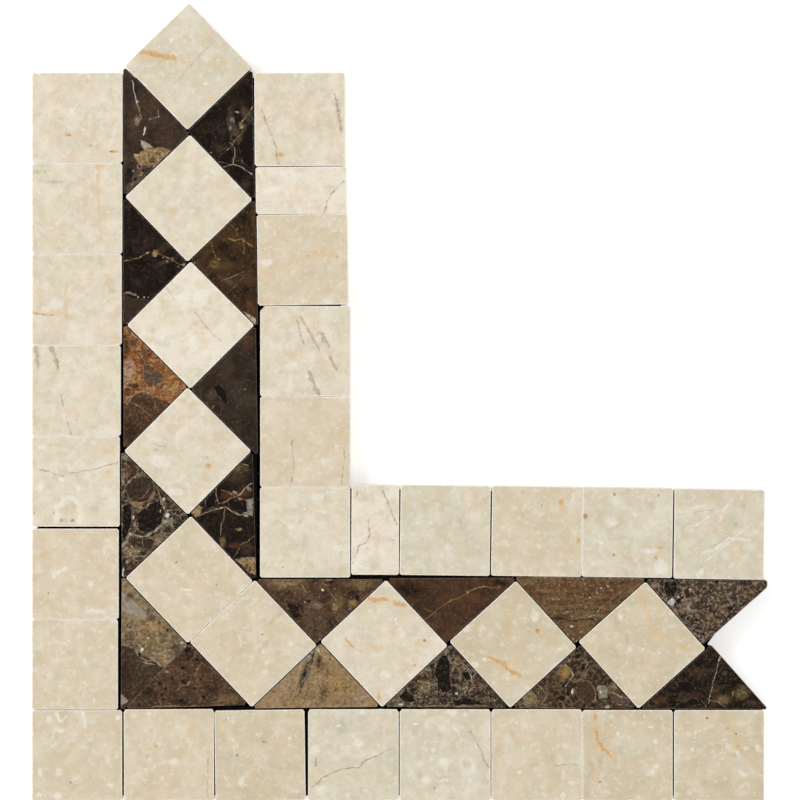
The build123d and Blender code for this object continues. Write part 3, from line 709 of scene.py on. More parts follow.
            ("rose", 1.2, [(124, 294.3), (129, 293), (135.5, 294.3)])]},
    "brown_triangle_inner_up_3": {"tone": "loam",
        "washes": [("ebony", 243, 214, 8, 9, 0), ("ebony", 223, 247, 7, 5, 0),
            ("walnut", 216, 236, 5, 10, 40), ("olive", 214, 264, 6, 5, 0), ("taupe", 228, 281, 3, 12, -62),
            ("chestnut", 250, 306, 5, 9, 0), ("walnut", 250, 272, 4, 7, 0), ("ebony", 234, 259, 6, 4, 0),
            ("ebony", 246, 290, 5, 4, 0)],
        "clasts": [("bone", [(243, 311), (249, 316), (256, 318), (256, 324.5), (250, 321)])],
        "spots": [("bone", 255, 320.5, 1.4, 2.6, 0), ("gold", 219, 259.5, 1.4, 1.4, 0),
            ("bone", 195, 263, 2.2, 1, -40), ("tan", 237, 229, 0.9, 2, 40)],
        "veins": [("olive", 0.6, [(230, 223.5), (235, 228.5), (238, 235)]), ("tan", 0.7, [(227, 238.5),
            (235, 241), (241, 239), (247, 243.5), (254.5, 248)]), ("olive", 0.7, [(243, 240), (244, 247),
            (243.4, 253)]), ("tan", 0.7, [(222, 281), (231, 277), (243, 272)]), ("tan", 0.5, [(233, 288),
            (237, 283), (242, 279)]), ("gold", 0.6, [(211, 243), (213, 250), (216, 258)])]},
    "brown_triangle_outer_up_2": {"tone": "rust",
        "washes": [("rose", 128, 372, 7, 12, 0), ("olive", 150, 389, 6, 5, 0),
            ("gold", 173, 388, 7, 5, -45), ("chestnut", 150, 352, 5, 5, 0), ("gold", 134, 381, 5, 4, 0),
            ("chestnut", 139, 371, 4, 7, 25)],
        "clasts": [("taupe", [(144.5, 362), (151, 366), (160.5, 372), (163.5, 378), (160, 384), (148, 387),
            (143.5, 379), (143, 369)]), ("walnut", [(119, 407), (131, 399), (137, 393), (146, 391.5),
            (157, 398.5), (171, 404), (122, 454), (118, 454)]), ("rose", [(121, 364), (129, 359.5),
            (136, 367), (131, 377), (126, 389), (124, 391)])],
        "spots": [("ebony", 124.5, 336.5, 2.6, 3, 0), ("shade", 127, 343, 6, 7, 0),
            ("shade", 131, 432, 11, 16, -30), ("cocoa", 126, 350, 2.4, 4, 0),
            ("cocoa", 125, 357.5, 1.8, 3, 0), ("cocoa", 134, 386, 4.5, 2.6, 0),
            ("cocoa", 127.5, 392, 3.6, 4, 0), ("taupe", 133, 343, 3, 4, 0), ("taupe", 144, 352, 3.4, 3, 30),
            ("olive", 146, 392, 4, 2, -40), ("smoke", 165.5, 386.5, 1.8, 1.6, 0),
            ("taupe", 158, 376, 2.6, 5, 60)],
        "veins": [("rose", 1, [(126, 404), (131, 398.5), (137, 393), (143, 390.5), (148, 392.5),
            (155, 398)]), ("bone", 0.7, [(132.5, 333.5), (134.5, 336), (137, 338)]),
            ("bone", 0.5, [(140, 353), (143, 360), (146, 366)]), ("rust", 0.9, [(137, 352), (140, 361),
            (144, 372)]), ("rust", 0.8, [(150, 389), (158, 391), (165, 397), (171, 400)]),
            ("rose", 0.6, [(125, 360.5), (129, 358), (130, 363)]), ("rose", 0.5, [(134, 402), (143, 410),
            (152, 418)]), ("tan", 0.5, [(153, 398), (155, 406), (155, 412)])]},
    "brown_triangle_inner_up_2": {"tone": "grey",
        "washes": [("chestnut", 246, 341, 8, 9, 0), ("taupe", 212, 394, 10, 5, -45),
            ("cocoa", 238, 420, 12, 16, 0), ("walnut", 226, 372, 10, 7, -40)],
        "clasts": [("ebony", [(212.5, 386.5), (218, 384), (223, 386.5), (226, 393), (228.5, 401.5),
            (226, 404.5), (221.5, 400.5), (217.5, 392)]), ("cocoa", [(206, 403), (212, 401), (218, 403.5),
            (221.5, 410), (219.5, 417.5), (212, 410)])],
        "spots": [("shade", 217, 408, 6, 7, -30), ("bone", 245, 389.6, 1.8, 0.6, -20),
            ("rose", 214, 407, 1.2, 2.2, 20), ("bone", 219.5, 374.3, 1.3, 0.5, 0),
            ("ebony", 243, 422, 2, 1.2, 0), ("smoke", 232.5, 392, 0.8, 0.6, 0)],
        "veins": [("taupe", 0.7, [(219, 402), (222.5, 406), (221, 412), (222.5, 418)]),
            ("taupe", 0.5, [(238, 352), (246, 356), (254, 361)]), ("taupe", 0.4, [(208, 375), (214, 372),
            (219, 368)]), ("taupe", 0.4, [(231, 400), (236, 404), (237, 409)])]},
    "brown_triangle_outer_up_1": {"tone": "veined",
        "washes": [("chestnut", 128, 468, 9, 9, 0), ("tan", 131, 552, 9, 8, 0),
            ("walnut", 133, 566, 9, 8, 0), ("rose", 123, 479, 2.6, 7, 0), ("tan", 158, 540, 10, 5, -44),
            ("walnut", 176, 500, 8, 10, -45)],
        "clasts": [("cocoa", [(127, 486), (133, 478), (142, 475.5), (152, 479), (154, 490), (148, 500),
            (138, 503), (129, 499)]), ("ebony", [(151, 503), (160, 500.5), (164, 514), (160, 527),
            (148, 533.5), (139, 530), (137, 514)]), ("cocoa", [(142, 540), (150, 538.5), (156, 541),
            (152, 549), (144, 549)]), ("cocoa", [(131, 538), (136, 537), (139, 541), (136, 546),
            (131, 545)]), ("cocoa", [(163, 524), (170, 522), (171, 531), (165, 533)]),
            ("ebony", [(122, 506), (131, 505), (133, 520), (128, 536), (122, 540)])],
        "spots": [("white", 164, 499.7, 2.2, 2.2, 0), ("white", 167.3, 515.3, 3.2, 3.6, 20),
            ("smoke", 170, 521, 4, 3.4, 0), ("ebony", 170, 517, 1.2, 1.6, 0),
            ("smoke", 125.5, 456.5, 4, 2.6, -40), ("white", 122.8, 572, 1.5, 5.5, 0),
            ("white", 134.3, 517, 1.3, 3, 0), ("bone", 135.5, 524, 1.5, 2.6, 0),
            ("bone", 164, 507, 1.3, 4, 15), ("tan", 136, 504.5, 5, 2.6, 10),
            ("bone", 131.5, 534.5, 2.4, 2.6, 0), ("smoke", 160, 535, 2.4, 2, 0),
            ("bone", 127, 542, 2, 3, 40), ("bone", 160, 511, 1, 3, 10), ("smoke", 166, 524, 3, 2, 20),
            ("bone", 131, 546, 2, 1.2, 30), ("bone", 127, 562, 1.6, 3, 20), ("smoke", 137, 551, 4, 1.4, 0),
            ("bone", 169, 510.5, 3, 1, -10)],
        "veins": [("tan", 0.9, [(123.5, 498), (125.5, 487), (131, 479), (138, 474.5), (145, 474)]),
            ("taupe", 0.6, [(141.5, 475), (142.3, 485)]), ("tan", 1.2, [(154, 487), (154, 494),
            (149.5, 501), (146, 508)]), ("tan", 0.9, [(153, 497), (146, 502), (136, 504.5), (130, 503)]),
            ("bone", 0.8, [(156.5, 486.5), (160, 497), (163, 506), (166, 513)]), ("tan", 0.6, [(166, 512),
            (173, 510), (180, 507.5)]), ("bone", 1.5, [(121.5, 547), (126, 541), (131, 534), (138, 536),
            (146, 536.5), (154, 532), (159, 526.5), (165, 521)]), ("bone", 0.7, [(124, 553), (134, 556),
            (145, 555.5), (150, 552)]), ("tan", 0.7, [(128, 547), (133, 550), (141, 551)]),
            ("tan", 0.7, [(148, 533), (151, 538), (157, 541)]), ("tan", 0.6, [(128, 560), (134, 558),
            (139, 562), (136, 568)]), ("rose", 0.6, [(140, 499), (147, 494), (150, 487)])]},
    "brown_triangle_inner_up_1": {"tone": "ebony",
        "washes": [("chestnut", 243, 494, 5, 10, 62), ("walnut", 234, 476, 16, 7, 0),
            ("olive", 237, 468, 12, 4, 0), ("chestnut", 228, 496, 8, 5, 0), ("walnut", 247, 548, 8, 7, 0),
            ("walnut", 213, 508, 9, 5, 0), ("chestnut", 235, 546, 8, 3, 0), ("olive", 223, 543, 3, 6, 0)],
        "clasts": [("tan", [(191, 513.5), (199, 505.5), (203, 508), (200, 514), (195, 517.5)]),
            ("smoke", [(246, 500), (253, 498), (253, 516), (248, 514), (247, 506)]), ("ebony", [(228, 501),
            (240, 500.5), (243, 505), (238, 511), (229, 507)]), ("ebony", [(206, 500), (213, 491),
            (216.5, 499), (216, 506), (206, 510)]), ("tan", [(237, 561), (246, 557.5), (255.5, 559),
            (255.5, 575), (250, 573)])],
        "spots": [("bone", 235.5, 492.5, 3.4, 2.2, 20), ("ebony", 236, 491, 1.5, 1, 0),
            ("tan", 239, 529, 3.4, 1.4, 0), ("walnut", 246, 567, 1.6, 4, 30),
            ("walnut", 251, 569, 1.2, 4, 20), ("white", 221, 507.6, 2.8, 1, 0),
            ("bone", 250, 505, 1.8, 2.6, 0), ("smoke", 246, 514, 4, 1.8, -10),
            ("smoke", 249, 489, 3.4, 2, 30)],
        "veins": [("olive", 0.6, [(231, 470), (238, 473), (245, 472), (252, 470)]),
            ("tan", 0.9, [(221, 490), (227, 491.5), (233, 495), (240, 499.5), (248, 500.5)]),
            ("bone", 0.9, [(252, 483.5), (245, 489), (239, 495), (234, 497.5)]),
            ("gold", 0.6, [(234, 497.5), (226, 502), (218, 503.5)]), ("bone", 0.5, [(215.5, 486.5),
            (216.5, 494), (218, 502)]), ("bone", 0.8, [(222, 507.5), (215, 509), (207, 512.5), (196, 517)]),
            ("bone", 0.9, [(224, 507), (231, 511), (239, 515), (248, 516.5)]), ("tan", 0.7, [(224, 509),
            (223.5, 519), (220.5, 527), (220.5, 536)]), ("tan", 0.6, [(254, 536), (247, 543), (240, 545)]),
            ("olive", 0.7, [(240, 547), (237, 553), (234, 559)]), ("bone", 0.8, [(236, 560.5), (243, 557.7),
            (250, 557), (256, 559)]), ("bone", 0.5, [(241, 464), (249, 465.5)]), ("olive", 0.5, [(205, 497),
            (205.5, 505)])]},
    "brown_triangle_corner_up": {"tone": "sand",
        "washes": [("tan", 127, 588, 5, 8, -40), ("gold", 157, 626, 5, 12, 60),
            ("smoke", 179, 651, 5, 7, 0), ("olive", 160, 645, 12, 12, 0), ("walnut", 130, 642, 5, 12, 0),
            ("gold", 150, 625, 10, 4, -25), ("gold", 164, 652, 6, 8, 0), ("rose", 132, 592, 3, 12, -45),
            ("rose", 152, 616, 3, 10, -45)],
        "clasts": [("cocoa", [(118, 646), (127, 645), (134, 650), (139, 656.5), (145, 660), (154, 661),
            (164, 668), (121, 713), (118, 713)]), ("ash", [(120, 592), (124, 593), (132, 602), (141, 609),
            (147, 614), (145, 620), (135, 616), (120, 609)]), ("ash", [(119, 691), (127.5, 701.5),
            (119, 708)])],
        "spots": [("shade", 124, 676, 10, 20, 0), ("shade", 143, 690, 14, 4, -44),
            ("shade", 130, 597, 6, 4, -40), ("shade", 177, 650, 7, 8, 0), ("taupe", 148, 612, 2, 4, 20),
            ("taupe", 153, 618, 3, 3.4, 0), ("walnut", 159, 622.5, 1.6, 1.6, 0),
            ("ebony", 168, 630.5, 1.6, 2, 0), ("ebony", 131, 627.5, 1.2, 1.4, 0),
            ("ebony", 127, 625, 1.2, 1.6, 0), ("ebony", 140, 654.5, 1.6, 2.6, 0),
            ("white", 142, 649.5, 2.6, 2.8, 20), ("white", 148, 638.3, 1.3, 1.4, 0),
            ("smoke", 155, 654, 2.2, 2.6, 0), ("smoke", 166, 645, 3.4, 1.6, -20),
            ("smoke", 129, 644, 1.6, 1.2, 0), ("rose", 139, 628, 3, 3, 0), ("white", 182, 643, 2, 2, 0),
            ("ebony", 172, 668, 3, 2, -30)],
        "veins": [("rose", 0.8, [(122, 612), (134, 617), (146, 621), (155, 625), (163, 634)]),
            ("gold", 0.8, [(124, 615), (136, 620), (147, 624)]), ("bone", 0.8, [(135, 651), (139.5, 657),
            (146, 660.5), (154, 661), (160, 666)]), ("bone", 0.7, [(143, 662), (149, 663.5), (155, 665)]),
            ("gold", 0.6, [(140, 624), (146, 627), (154, 626.5), (160, 628)]), ("smoke", 0.5, [(122, 590),
            (122, 612), (122, 632)])]},
    "brown_triangle_corner_right": {"tone": "umber",
        "washes": [("ebony", 146, 689, 9, 7, 0), ("chestnut", 168, 700, 12, 5, 0),
            ("ebony", 189, 655, 6, 5, 0), ("olive", 229, 699, 12, 5, 0), ("walnut", 210, 690, 10, 12, 0),
            ("ebony", 182, 703, 10, 4, 0), ("chestnut", 196, 672, 8, 8, 0),
            ("chestnut", 176, 672, 10, 4, 20)],
        "spots": [("ebony", 160, 684, 2.4, 2, 20), ("ebony", 166, 689, 2.2, 1.8, 0),
            ("ebony", 162, 694.5, 2.2, 2, 0), ("ebony", 163, 700, 2.2, 2, 0),
            ("ebony", 195, 689, 1.6, 3, 20), ("ebony", 183, 682, 4.2, 1.6, 30),
            ("ebony", 181, 700.5, 3.4, 2, 0), ("ebony", 172.5, 678.5, 1.6, 2.4, 0),
            ("ebony", 204, 697, 3, 2.4, 0), ("ebony", 197, 660, 2.6, 2.2, 0),
            ("ebony", 201, 680, 1.6, 1.4, 0), ("tan", 167.5, 671.5, 3, 1.6, 20),
            ("bone", 188, 683, 1.2, 2.4, 0), ("ebony", 183, 668, 3, 3, 0), ("ebony", 187, 650, 5, 3, 0),
            ("shade", 150, 693, 9, 7, 0), ("shade", 190, 658, 6, 5, 0), ("shade", 177, 702, 9, 4, 0),
            ("shade", 212, 690, 8, 6, 0)],
        "veins": [("tan", 0.7, [(196, 652), (194, 657), (190, 662)]), ("tan", 0.8, [(202, 662), (199, 667),
            (196.5, 671), (195.5, 676)]), ("tan", 0.8, [(191, 677), (189, 684), (183, 686), (178, 690)]),
            ("gold", 0.6, [(152, 707), (175, 707), (200, 706.5), (225, 705)]), ("tan", 0.5, [(166, 703),
            (172, 706), (180, 705.5)]), ("rose", 0.5, [(158, 701), (162, 706)]), ("olive", 0.8, [(212, 703),
            (222, 700), (233, 702)])]},
    "brown_triangle_inner_right_1": {"tone": "umber",
        "washes": [("tan", 288, 583, 22, 7, 0), ("olive", 338, 603, 7, 7, 0), ("olive", 362, 584, 16, 5, 0),
            ("walnut", 277, 592, 9, 6, 30), ("ebony", 296, 611, 9, 8, 30), ("taupe", 316, 625, 10, 14, 0),
            ("gold", 352, 603, 5, 4, 0), ("ebony", 350, 592, 8, 6, 0), ("rose", 316, 606, 7, 4, 0)],
        "spots": [("ebony", 292, 606, 6, 3.4, 10), ("ebony", 296, 615.5, 6, 3, 0),
            ("ebony", 309, 601, 2.2, 2, 0), ("ebony", 356.7, 598.5, 2.4, 4.2, 0),
            ("ebony", 331, 582, 3, 1.6, 0), ("white", 322.5, 589.6, 1.7, 1.6, 0),
            ("smoke", 328.5, 579.7, 3, 1, 0), ("gold", 335.5, 608, 3.4, 2.6, 0),
            ("chestnut", 303, 585, 5, 3, 0), ("bone", 333.5, 604, 1.2, 1.6, 0),
            ("smoke", 350, 608, 1.4, 1.6, 0), ("ebony", 316, 630, 1.6, 1.4, 0),
            ("ebony", 345, 625, 3, 1.2, 40), ("white", 304.7, 602.3, 0.7, 0.9, 0)],
        "veins": [("gold", 0.8, [(302.5, 584.5), (304, 588), (306.5, 592)]), ("bone", 0.4, [(327.5, 588),
            (331.5, 594), (335.5, 600)]), ("tan", 0.6, [(299, 608), (300, 612)]), ("gold", 0.6, [(322, 583),
            (328, 585)])]},
    "brown_triangle_outer_right_1": {"tone": "tan",
        "washes": [("olive", 309, 690, 8, 9, 0), ("gold", 338, 684, 10, 12, 0),
            ("walnut", 323, 694, 4, 8, 0), ("rose", 360, 697, 9, 7, 0), ("rose", 283, 684, 9, 9, 0),
            ("walnut", 320, 664, 6, 8, 0), ("olive", 345, 703, 10, 4, 0)],
        "clasts": [("slate", [(309, 652), (316, 650), (314, 662), (308, 678), (301, 692), (297, 699),
            (299, 684), (304, 667)])],
        "spots": [("white", 311, 651, 2.8, 1.8, 40), ("ash", 308.5, 658, 2.6, 3, 30),
            ("shade", 303.5, 674, 3, 12, 20), ("shade", 319, 660, 3, 7, 0),
            ("ebony", 304.5, 674, 1.6, 4, 20), ("ebony", 313.5, 656, 1.2, 4, 25),
            ("ebony", 330, 659, 1.2, 1.4, 0), ("ebony", 318, 672, 1.6, 0.8, 0),
            ("walnut", 327, 670, 1.2, 1.2, 0), ("white", 319, 650.5, 1.6, 3, -30),
            ("ebony", 302, 686, 1, 3, 20), ("white", 284, 706.3, 1, 0.6, 0),
            ("walnut", 346, 688, 1.6, 1, 0), ("walnut", 335, 690, 1.2, 1.6, 0)],
        "veins": [("bone", 0.8, [(303.5, 657), (300, 668), (297.5, 680), (294.5, 690), (292, 698),
            (289, 704)]), ("walnut", 0.4, [(318, 683), (322, 692), (321, 700)]),
            ("walnut", 0.4, [(311, 688), (305, 696), (304, 704)])]},
    "brown_triangle_inner_right_2": {"tone": "earth",
        "washes": [("chestnut", 476, 598, 5, 16, -60), ("ebony", 408, 590, 18, 9, 0),
            ("cocoa", 425, 604, 14, 8, 0), ("walnut", 450, 620, 12, 12, 0), ("walnut", 440, 584, 30, 4, 0),
            ("ebony", 500, 583, 8, 4, 0)],
        "spots": [("walnut", 428, 598, 1.6, 2, 0), ("tan", 467, 592, 1.8, 1, 20),
            ("walnut", 447, 623, 2.4, 2, 0)],
        "veins": [("gold", 0.55, [(423.5, 621), (432, 614.5), (438.5, 609), (445, 604), (452, 600.5),
            (460, 597)]), ("gold", 0.75, [(460, 597), (467, 592), (476, 588.5), (485, 586.3), (493, 588),
            (500, 587)]), ("taupe", 0.8, [(436.5, 613), (437, 622), (435.5, 630)]),
            ("olive", 0.5, [(497, 590), (501, 586)]), ("olive", 0.3, [(424, 609), (435, 613), (440, 616)])]},
    "brown_triangle_outer_right_2": {"tone": "veined",
        "washes": [("olive", 424, 687, 8, 8, 0), ("chestnut", 459, 662, 8, 9, 0),
            ("olive", 463, 688, 7, 6, 0), ("cocoa", 440, 702, 30, 5, 0), ("cocoa", 470, 694, 12, 7, 0),
            ("ebony", 403, 696, 9, 6, 0), ("walnut", 492, 697, 12, 8, 0),
            ("chestnut", 424, 673, 7, 6, -50)],
        "clasts": [("ebony", [(441, 655), (448.5, 655), (450, 675), (450.5, 690), (447, 694), (438, 690),
            (434.5, 674)]), ("ebony", [(461, 673.5), (468, 671.5), (473, 675), (472, 681), (466, 680)]),
            ("ebony", [(399, 697), (406, 690), (414, 695), (414, 702), (402, 701)]), ("ebony", [(452, 700),
            (470, 697.5), (486, 704), (455, 706)])],
        "spots": [("white", 400.5, 704.6, 3, 1.5, 0), ("white", 456.5, 694, 2.2, 1.7, 0),
            ("bone", 433.5, 688.5, 1.6, 1.3, 0), ("white", 427, 696.5, 0.8, 1.2, 0),
            ("bone", 437, 692, 1.2, 1.2, 0), ("bone", 489, 698, 1.3, 1.2, 0), ("bone", 484, 701, 1, 1, 0),
            ("bone", 494, 700, 1, 1.2, 0), ("bone", 418, 693, 2, 1, 30), ("bone", 441, 690, 1, 1, 0),
            ("smoke", 460, 679, 1.4, 3, 20), ("bone", 466, 692, 1.3, 1, 0), ("tan", 453, 668, 1.4, 1.6, 0),
            ("rose", 446, 652, 2, 3, 0)],
        "veins": [("bone", 0.6, [(463, 667), (468.5, 671.5), (471.5, 677), (471, 681)]),
            ("tan", 0.7, [(453, 656), (460, 661), (468, 669)]), ("gold", 0.6, [(418, 706.5), (445, 706),
            (490, 706)]), ("tan", 0.7, [(420, 702), (428, 699), (436, 700)]), ("tan", 0.5, [(416, 684),
            (422, 688), (425, 694)])]},
    "brown_triangle_inner_right_3": {"tone": "streaked",
        "washes": [("chestnut", 533, 592, 13, 7, 20), ("olive", 530, 581, 12, 3, 0),
            ("chestnut", 617, 598, 14, 8, 30), ("olive", 590, 612, 14, 6, 0),
            ("chestnut", 575, 585, 22, 5, 0), ("olive", 557, 610, 9, 4, 0)],
        "spots": [("white", 571.5, 626, 2, 1.3, 10), ("white", 608, 587, 1.6, 1, 10),
            ("white", 590.5, 598, 1.2, 1.1, 0), ("white", 601, 588.5, 1.2, 1, 0),
            ("bone", 583, 593.5, 1.2, 1, 0), ("bone", 558.5, 600, 1.3, 1, 0), ("bone", 545, 603, 1, 0.9, 0),
            ("bone", 580, 632, 1.3, 1, -20), ("bone", 567, 613, 1.1, 1, 0), ("bone", 573, 616, 1, 0.9, 0),
            ("bone", 597, 594, 1.3, 1, 0), ("bone", 600, 608, 1, 1, 0), ("bone", 590, 586, 0.9, 0.8, 0),
            ("bone", 583.5, 579.5, 0.9, 1.4, 0), ("bone", 574, 639, 1, 1.4, 0),
            ("smoke", 553, 600, 2, 1.4, 0), ("bone", 595, 616, 1, 0.9, 0), ("bone", 604, 590.5, 1, 1, 0),
            ("bone", 612, 591, 0.9, 0.8, 0)],
        "veins": [("ebony", 0.8, [(552, 618), (562, 618.5), (574, 620.5), (584, 620), (594, 619)]),
            ("walnut", 0.7, [(545, 606), (575, 603), (610, 600)]), ("walnut", 0.7, [(556, 611), (580, 609),
            (600, 610)]), ("walnut", 0.6, [(560, 595), (585, 600), (610, 603)]), ("bone", 0.3, [(588, 619),
            (598, 611), (610, 601), (622, 591)])]},
    "brown_triangle_outer_right_3": {"tone": "pebbled",
        "washes": [("walnut", 552, 682, 10, 14, 40), ("gold", 563, 674, 7, 8, 30),
            ("walnut", 586, 690, 9, 11, 0), ("olive", 532, 698, 7, 7, 0), ("cocoa", 590, 665, 8, 14, -40),
            ("rose", 620, 701, 8, 4, 0)],
        "clasts": [("olive", [(524, 695), (531, 691), (538, 697), (536, 704), (527, 703)]),
            ("taupe", [(538, 690), (545, 686), (550, 692), (546, 700), (540, 702)]),
            ("smoke", [(597.5, 686), (605.5, 684), (608, 691), (607, 698.5), (599, 699)]),
            ("taupe", [(608, 691), (618, 694), (630, 700), (628, 705), (613, 703)]),
            ("chestnut", [(608.5, 687), (616, 686.5), (623, 693.5), (613, 692)]), ("walnut", [(576, 683),
            (586, 680), (594, 687), (595.5, 699), (588, 705), (577, 697)])],
        "spots": [("gold", 566, 672, 4, 6, 20), ("ebony", 568.5, 693, 2.4, 3.4, 0),
            ("white", 573, 692, 1.5, 4, 0), ("white", 601, 692.5, 1.6, 2.4, 0),
            ("bone", 607, 706.5, 3.4, 2.4, 0), ("chestnut", 620, 706.5, 6, 1.8, 0),
            ("bone", 549, 655, 1, 2, 0), ("ebony", 577, 657, 4, 3, 0), ("ebony", 583, 667, 3.4, 4, 0),
            ("smoke", 604, 697, 2.4, 1.4, 20), ("ebony", 562, 698, 5, 4, 0)],
        "veins": [("bone", 1, [(557, 666.5), (565, 665.5), (571, 669), (573, 676), (569, 682),
            (565.5, 686)]), ("tan", 0.8, [(538, 684), (542, 689.5), (547, 694)]), ("bone", 0.7, [(523, 695),
            (526, 702), (533, 705.5)]), ("tan", 0.6, [(547, 693), (545, 699), (541, 706)]),
            ("tan", 0.6, [(575, 683), (581, 679.5), (590, 682), (595, 690), (595, 703)]),
            ("smoke", 0.4, [(585.7, 659), (584.7, 669), (585, 679)]), ("tan", 0.7, [(568, 697), (564, 702),
            (564, 707)]), ("bone", 0.6, [(607, 691), (613, 694), (622, 697)]), ("tan", 0.5, [(552, 659),
            (549, 664), (545, 669)]), ("gold", 0.5, [(512, 708), (540, 708), (600, 708.5)])]},
    "brown_triangle_inner_right_4": {"tone": "speckled",
        "washes": [("rose", 686, 607, 8, 8, 0), ("rose", 654, 586, 6, 4, 0), ("olive", 708, 622, 9, 8, 0),
            ("olive", 722, 606, 8, 6, 0), ("cocoa", 735, 604, 12, 9, -40), ("cocoa", 705, 630, 9, 10, 0),
            ("taupe", 730, 590, 20, 7, 0), ("chestnut", 745, 597, 7, 5, 0)],
        "clasts": [("ebony", [(665, 582), (676, 580.5), (678, 589), (673, 598), (667, 596), (664, 589)]),
            ("white", [(667, 602), (671, 598.5), (675.5, 600.5), (673, 606.5), (668, 604.5)])],
        "spots": [("ebony", 678.5, 601, 3.4, 2.8, 0), ("white", 678, 597.5, 1.8, 0.9, 20),
            ("white", 690, 590, 1.6, 1, 30), ("bone", 666, 598, 1.6, 0.8, -30),
            ("bone", 693, 585, 1, 2, -20), ("ebony", 716, 582, 3, 3, 0), ("ebony", 730, 608, 4, 3, 0),
            ("bone", 732, 605, 1.2, 0.8, 0), ("bone", 727, 613, 1, 0.8, 0), ("bone", 700, 606, 1, 0.8, 0),
            ("ebony", 697, 620, 2.4, 2, 0), ("ebony", 683, 616, 2.4, 2, 0), ("bone", 688, 608, 0.9, 0.9, 0),
            ("bone", 711, 597, 0.9, 0.8, 0)],
        "veins": [("olive", 0.9, [(703, 610), (709, 613.5), (714, 619), (719, 624)]),
            ("bone", 0.3, [(655, 590), (668, 603), (684, 622), (697, 637)])]},
    "brown_triangle_outer_right_4": {"tone": "black",
        "washes": [("walnut", 698, 672, 10, 6, 0), ("olive", 742, 693, 8, 7, -40),
            ("olive", 722, 700, 9, 5, 0), ("ebony", 735, 680, 6, 7, 0), ("walnut", 690, 697, 12, 5, 0),
            ("walnut", 715, 690, 6, 9, 0), ("chestnut", 660, 700, 9, 5, 0), ("walnut", 752, 703, 7, 4, 0)],
        "clasts": [("ebony", [(676, 683), (682, 680.5), (691, 682), (695, 689.5), (688, 693.5),
            (679, 689)]), ("ebony", [(686, 701), (694, 698.5), (702, 703), (693, 706.5), (687, 705)])],
        "spots": [("bone", 719.8, 659, 1.2, 2.2, 10), ("taupe", 725, 674, 3, 2.4, 0),
            ("ebony", 711, 664, 2, 3, 0), ("ebony", 735, 683, 4, 3, 0), ("gold", 733, 694, 1, 3, 0),
            ("ebony", 698, 664, 5, 4, 0)],
        "veins": [("bone", 0.5, [(719.8, 656.5), (718, 666), (714.5, 678), (711.5, 689), (709.5, 697),
            (709, 704)]), ("rose", 0.6, [(708, 698), (716, 702), (726, 707)]), ("tan", 0.4, [(712, 671),
            (717, 668)]), ("chestnut", 0.6, [(655, 708.5), (690, 708), (720, 709)]),
            ("tan", 0.4, [(703, 701), (706, 707)])]},
}


def marksOf(name):  # a chip's marks in mm from its middle, y up
    look, stone, pixel = chipLooks[name], name.split("_")[0], photo["pixel"]
    low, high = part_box(name)
    corner = (cadBox[0] - (low + high) / 2) / mm

    def place(x, y):
        return corner.x + (x - photo["left"]) * pixel, corner.y + (photo["base"] - y) * pixel

    def spots(kind, shrunk):
        made = []
        for paint, x, y, long, wide, turn in look.get(kind, []):
            size = pixel * (photo["speckShare"] if paint in shrunk else 1)
            made.append((paint, *place(x, y), long * size, wide * size, -turn))
        return made

    def outline(points):  # the corners round some points, anticlockwise
        placed = [Vector(place(*point)) for point in points]
        ring = [placed[i] for i in geometry.convex_hull_2d(placed)]
        turning = sum(a.cross(b) for a, b in zip(ring, ring[1:] + ring[:1]))
        return ring if turning > 0 else ring[::-1]

    return {
        "washes": spots("washes", ()),
        "clasts": [(paint, outline(points)) for paint, points in look.get("clasts", [])],
        "spots": spots("spots", photo["specks"][stone]),
        "veins": [(paint, half * pixel * photo["veinShare"][stone], [place(*point) for point in points])
                  for paint, half, points in look.get("veins", [])],
    }


creamPaints = {  # colour, partner colour of its grains, strength, how much it breaks up, where a spot fades
    "amber": ("#e0b57a", "#e5c797", 0.55, 0.6, (0.2, 1.4)),
    "pink": ("#dcbc9f", "#e4cdb4", 0.45, 0.6, (0.2, 1.4)),
    "grey": ("#aaa692", "#bdb8a3", 0.45, 0.7, (0.3, 1.3)),
    "white": ("#f8f4ea", "#f4eee0", 0.70, 0.5, (0.5, 1.25)),
    "smudge": ("#b6a588", "#a6967a", 0.70, 0.3, (0.3, 1.3)),
    "halo": ("#e0bc8b", "#e8cda2", 0.55, 0.6, (0.3, 1.2)),
    "ochre": ("#c6945a", "#d8ad73", 0.78, 0.35, (0.5, 1.3)),
    "rust": ("#8a4a26", "#a5622f", 0.85, 0.3, (0.6, 1.2)),
    "crack": ("#937960", "#7b624c", 0.62, 0.6, (0.6, 1.2)),
}
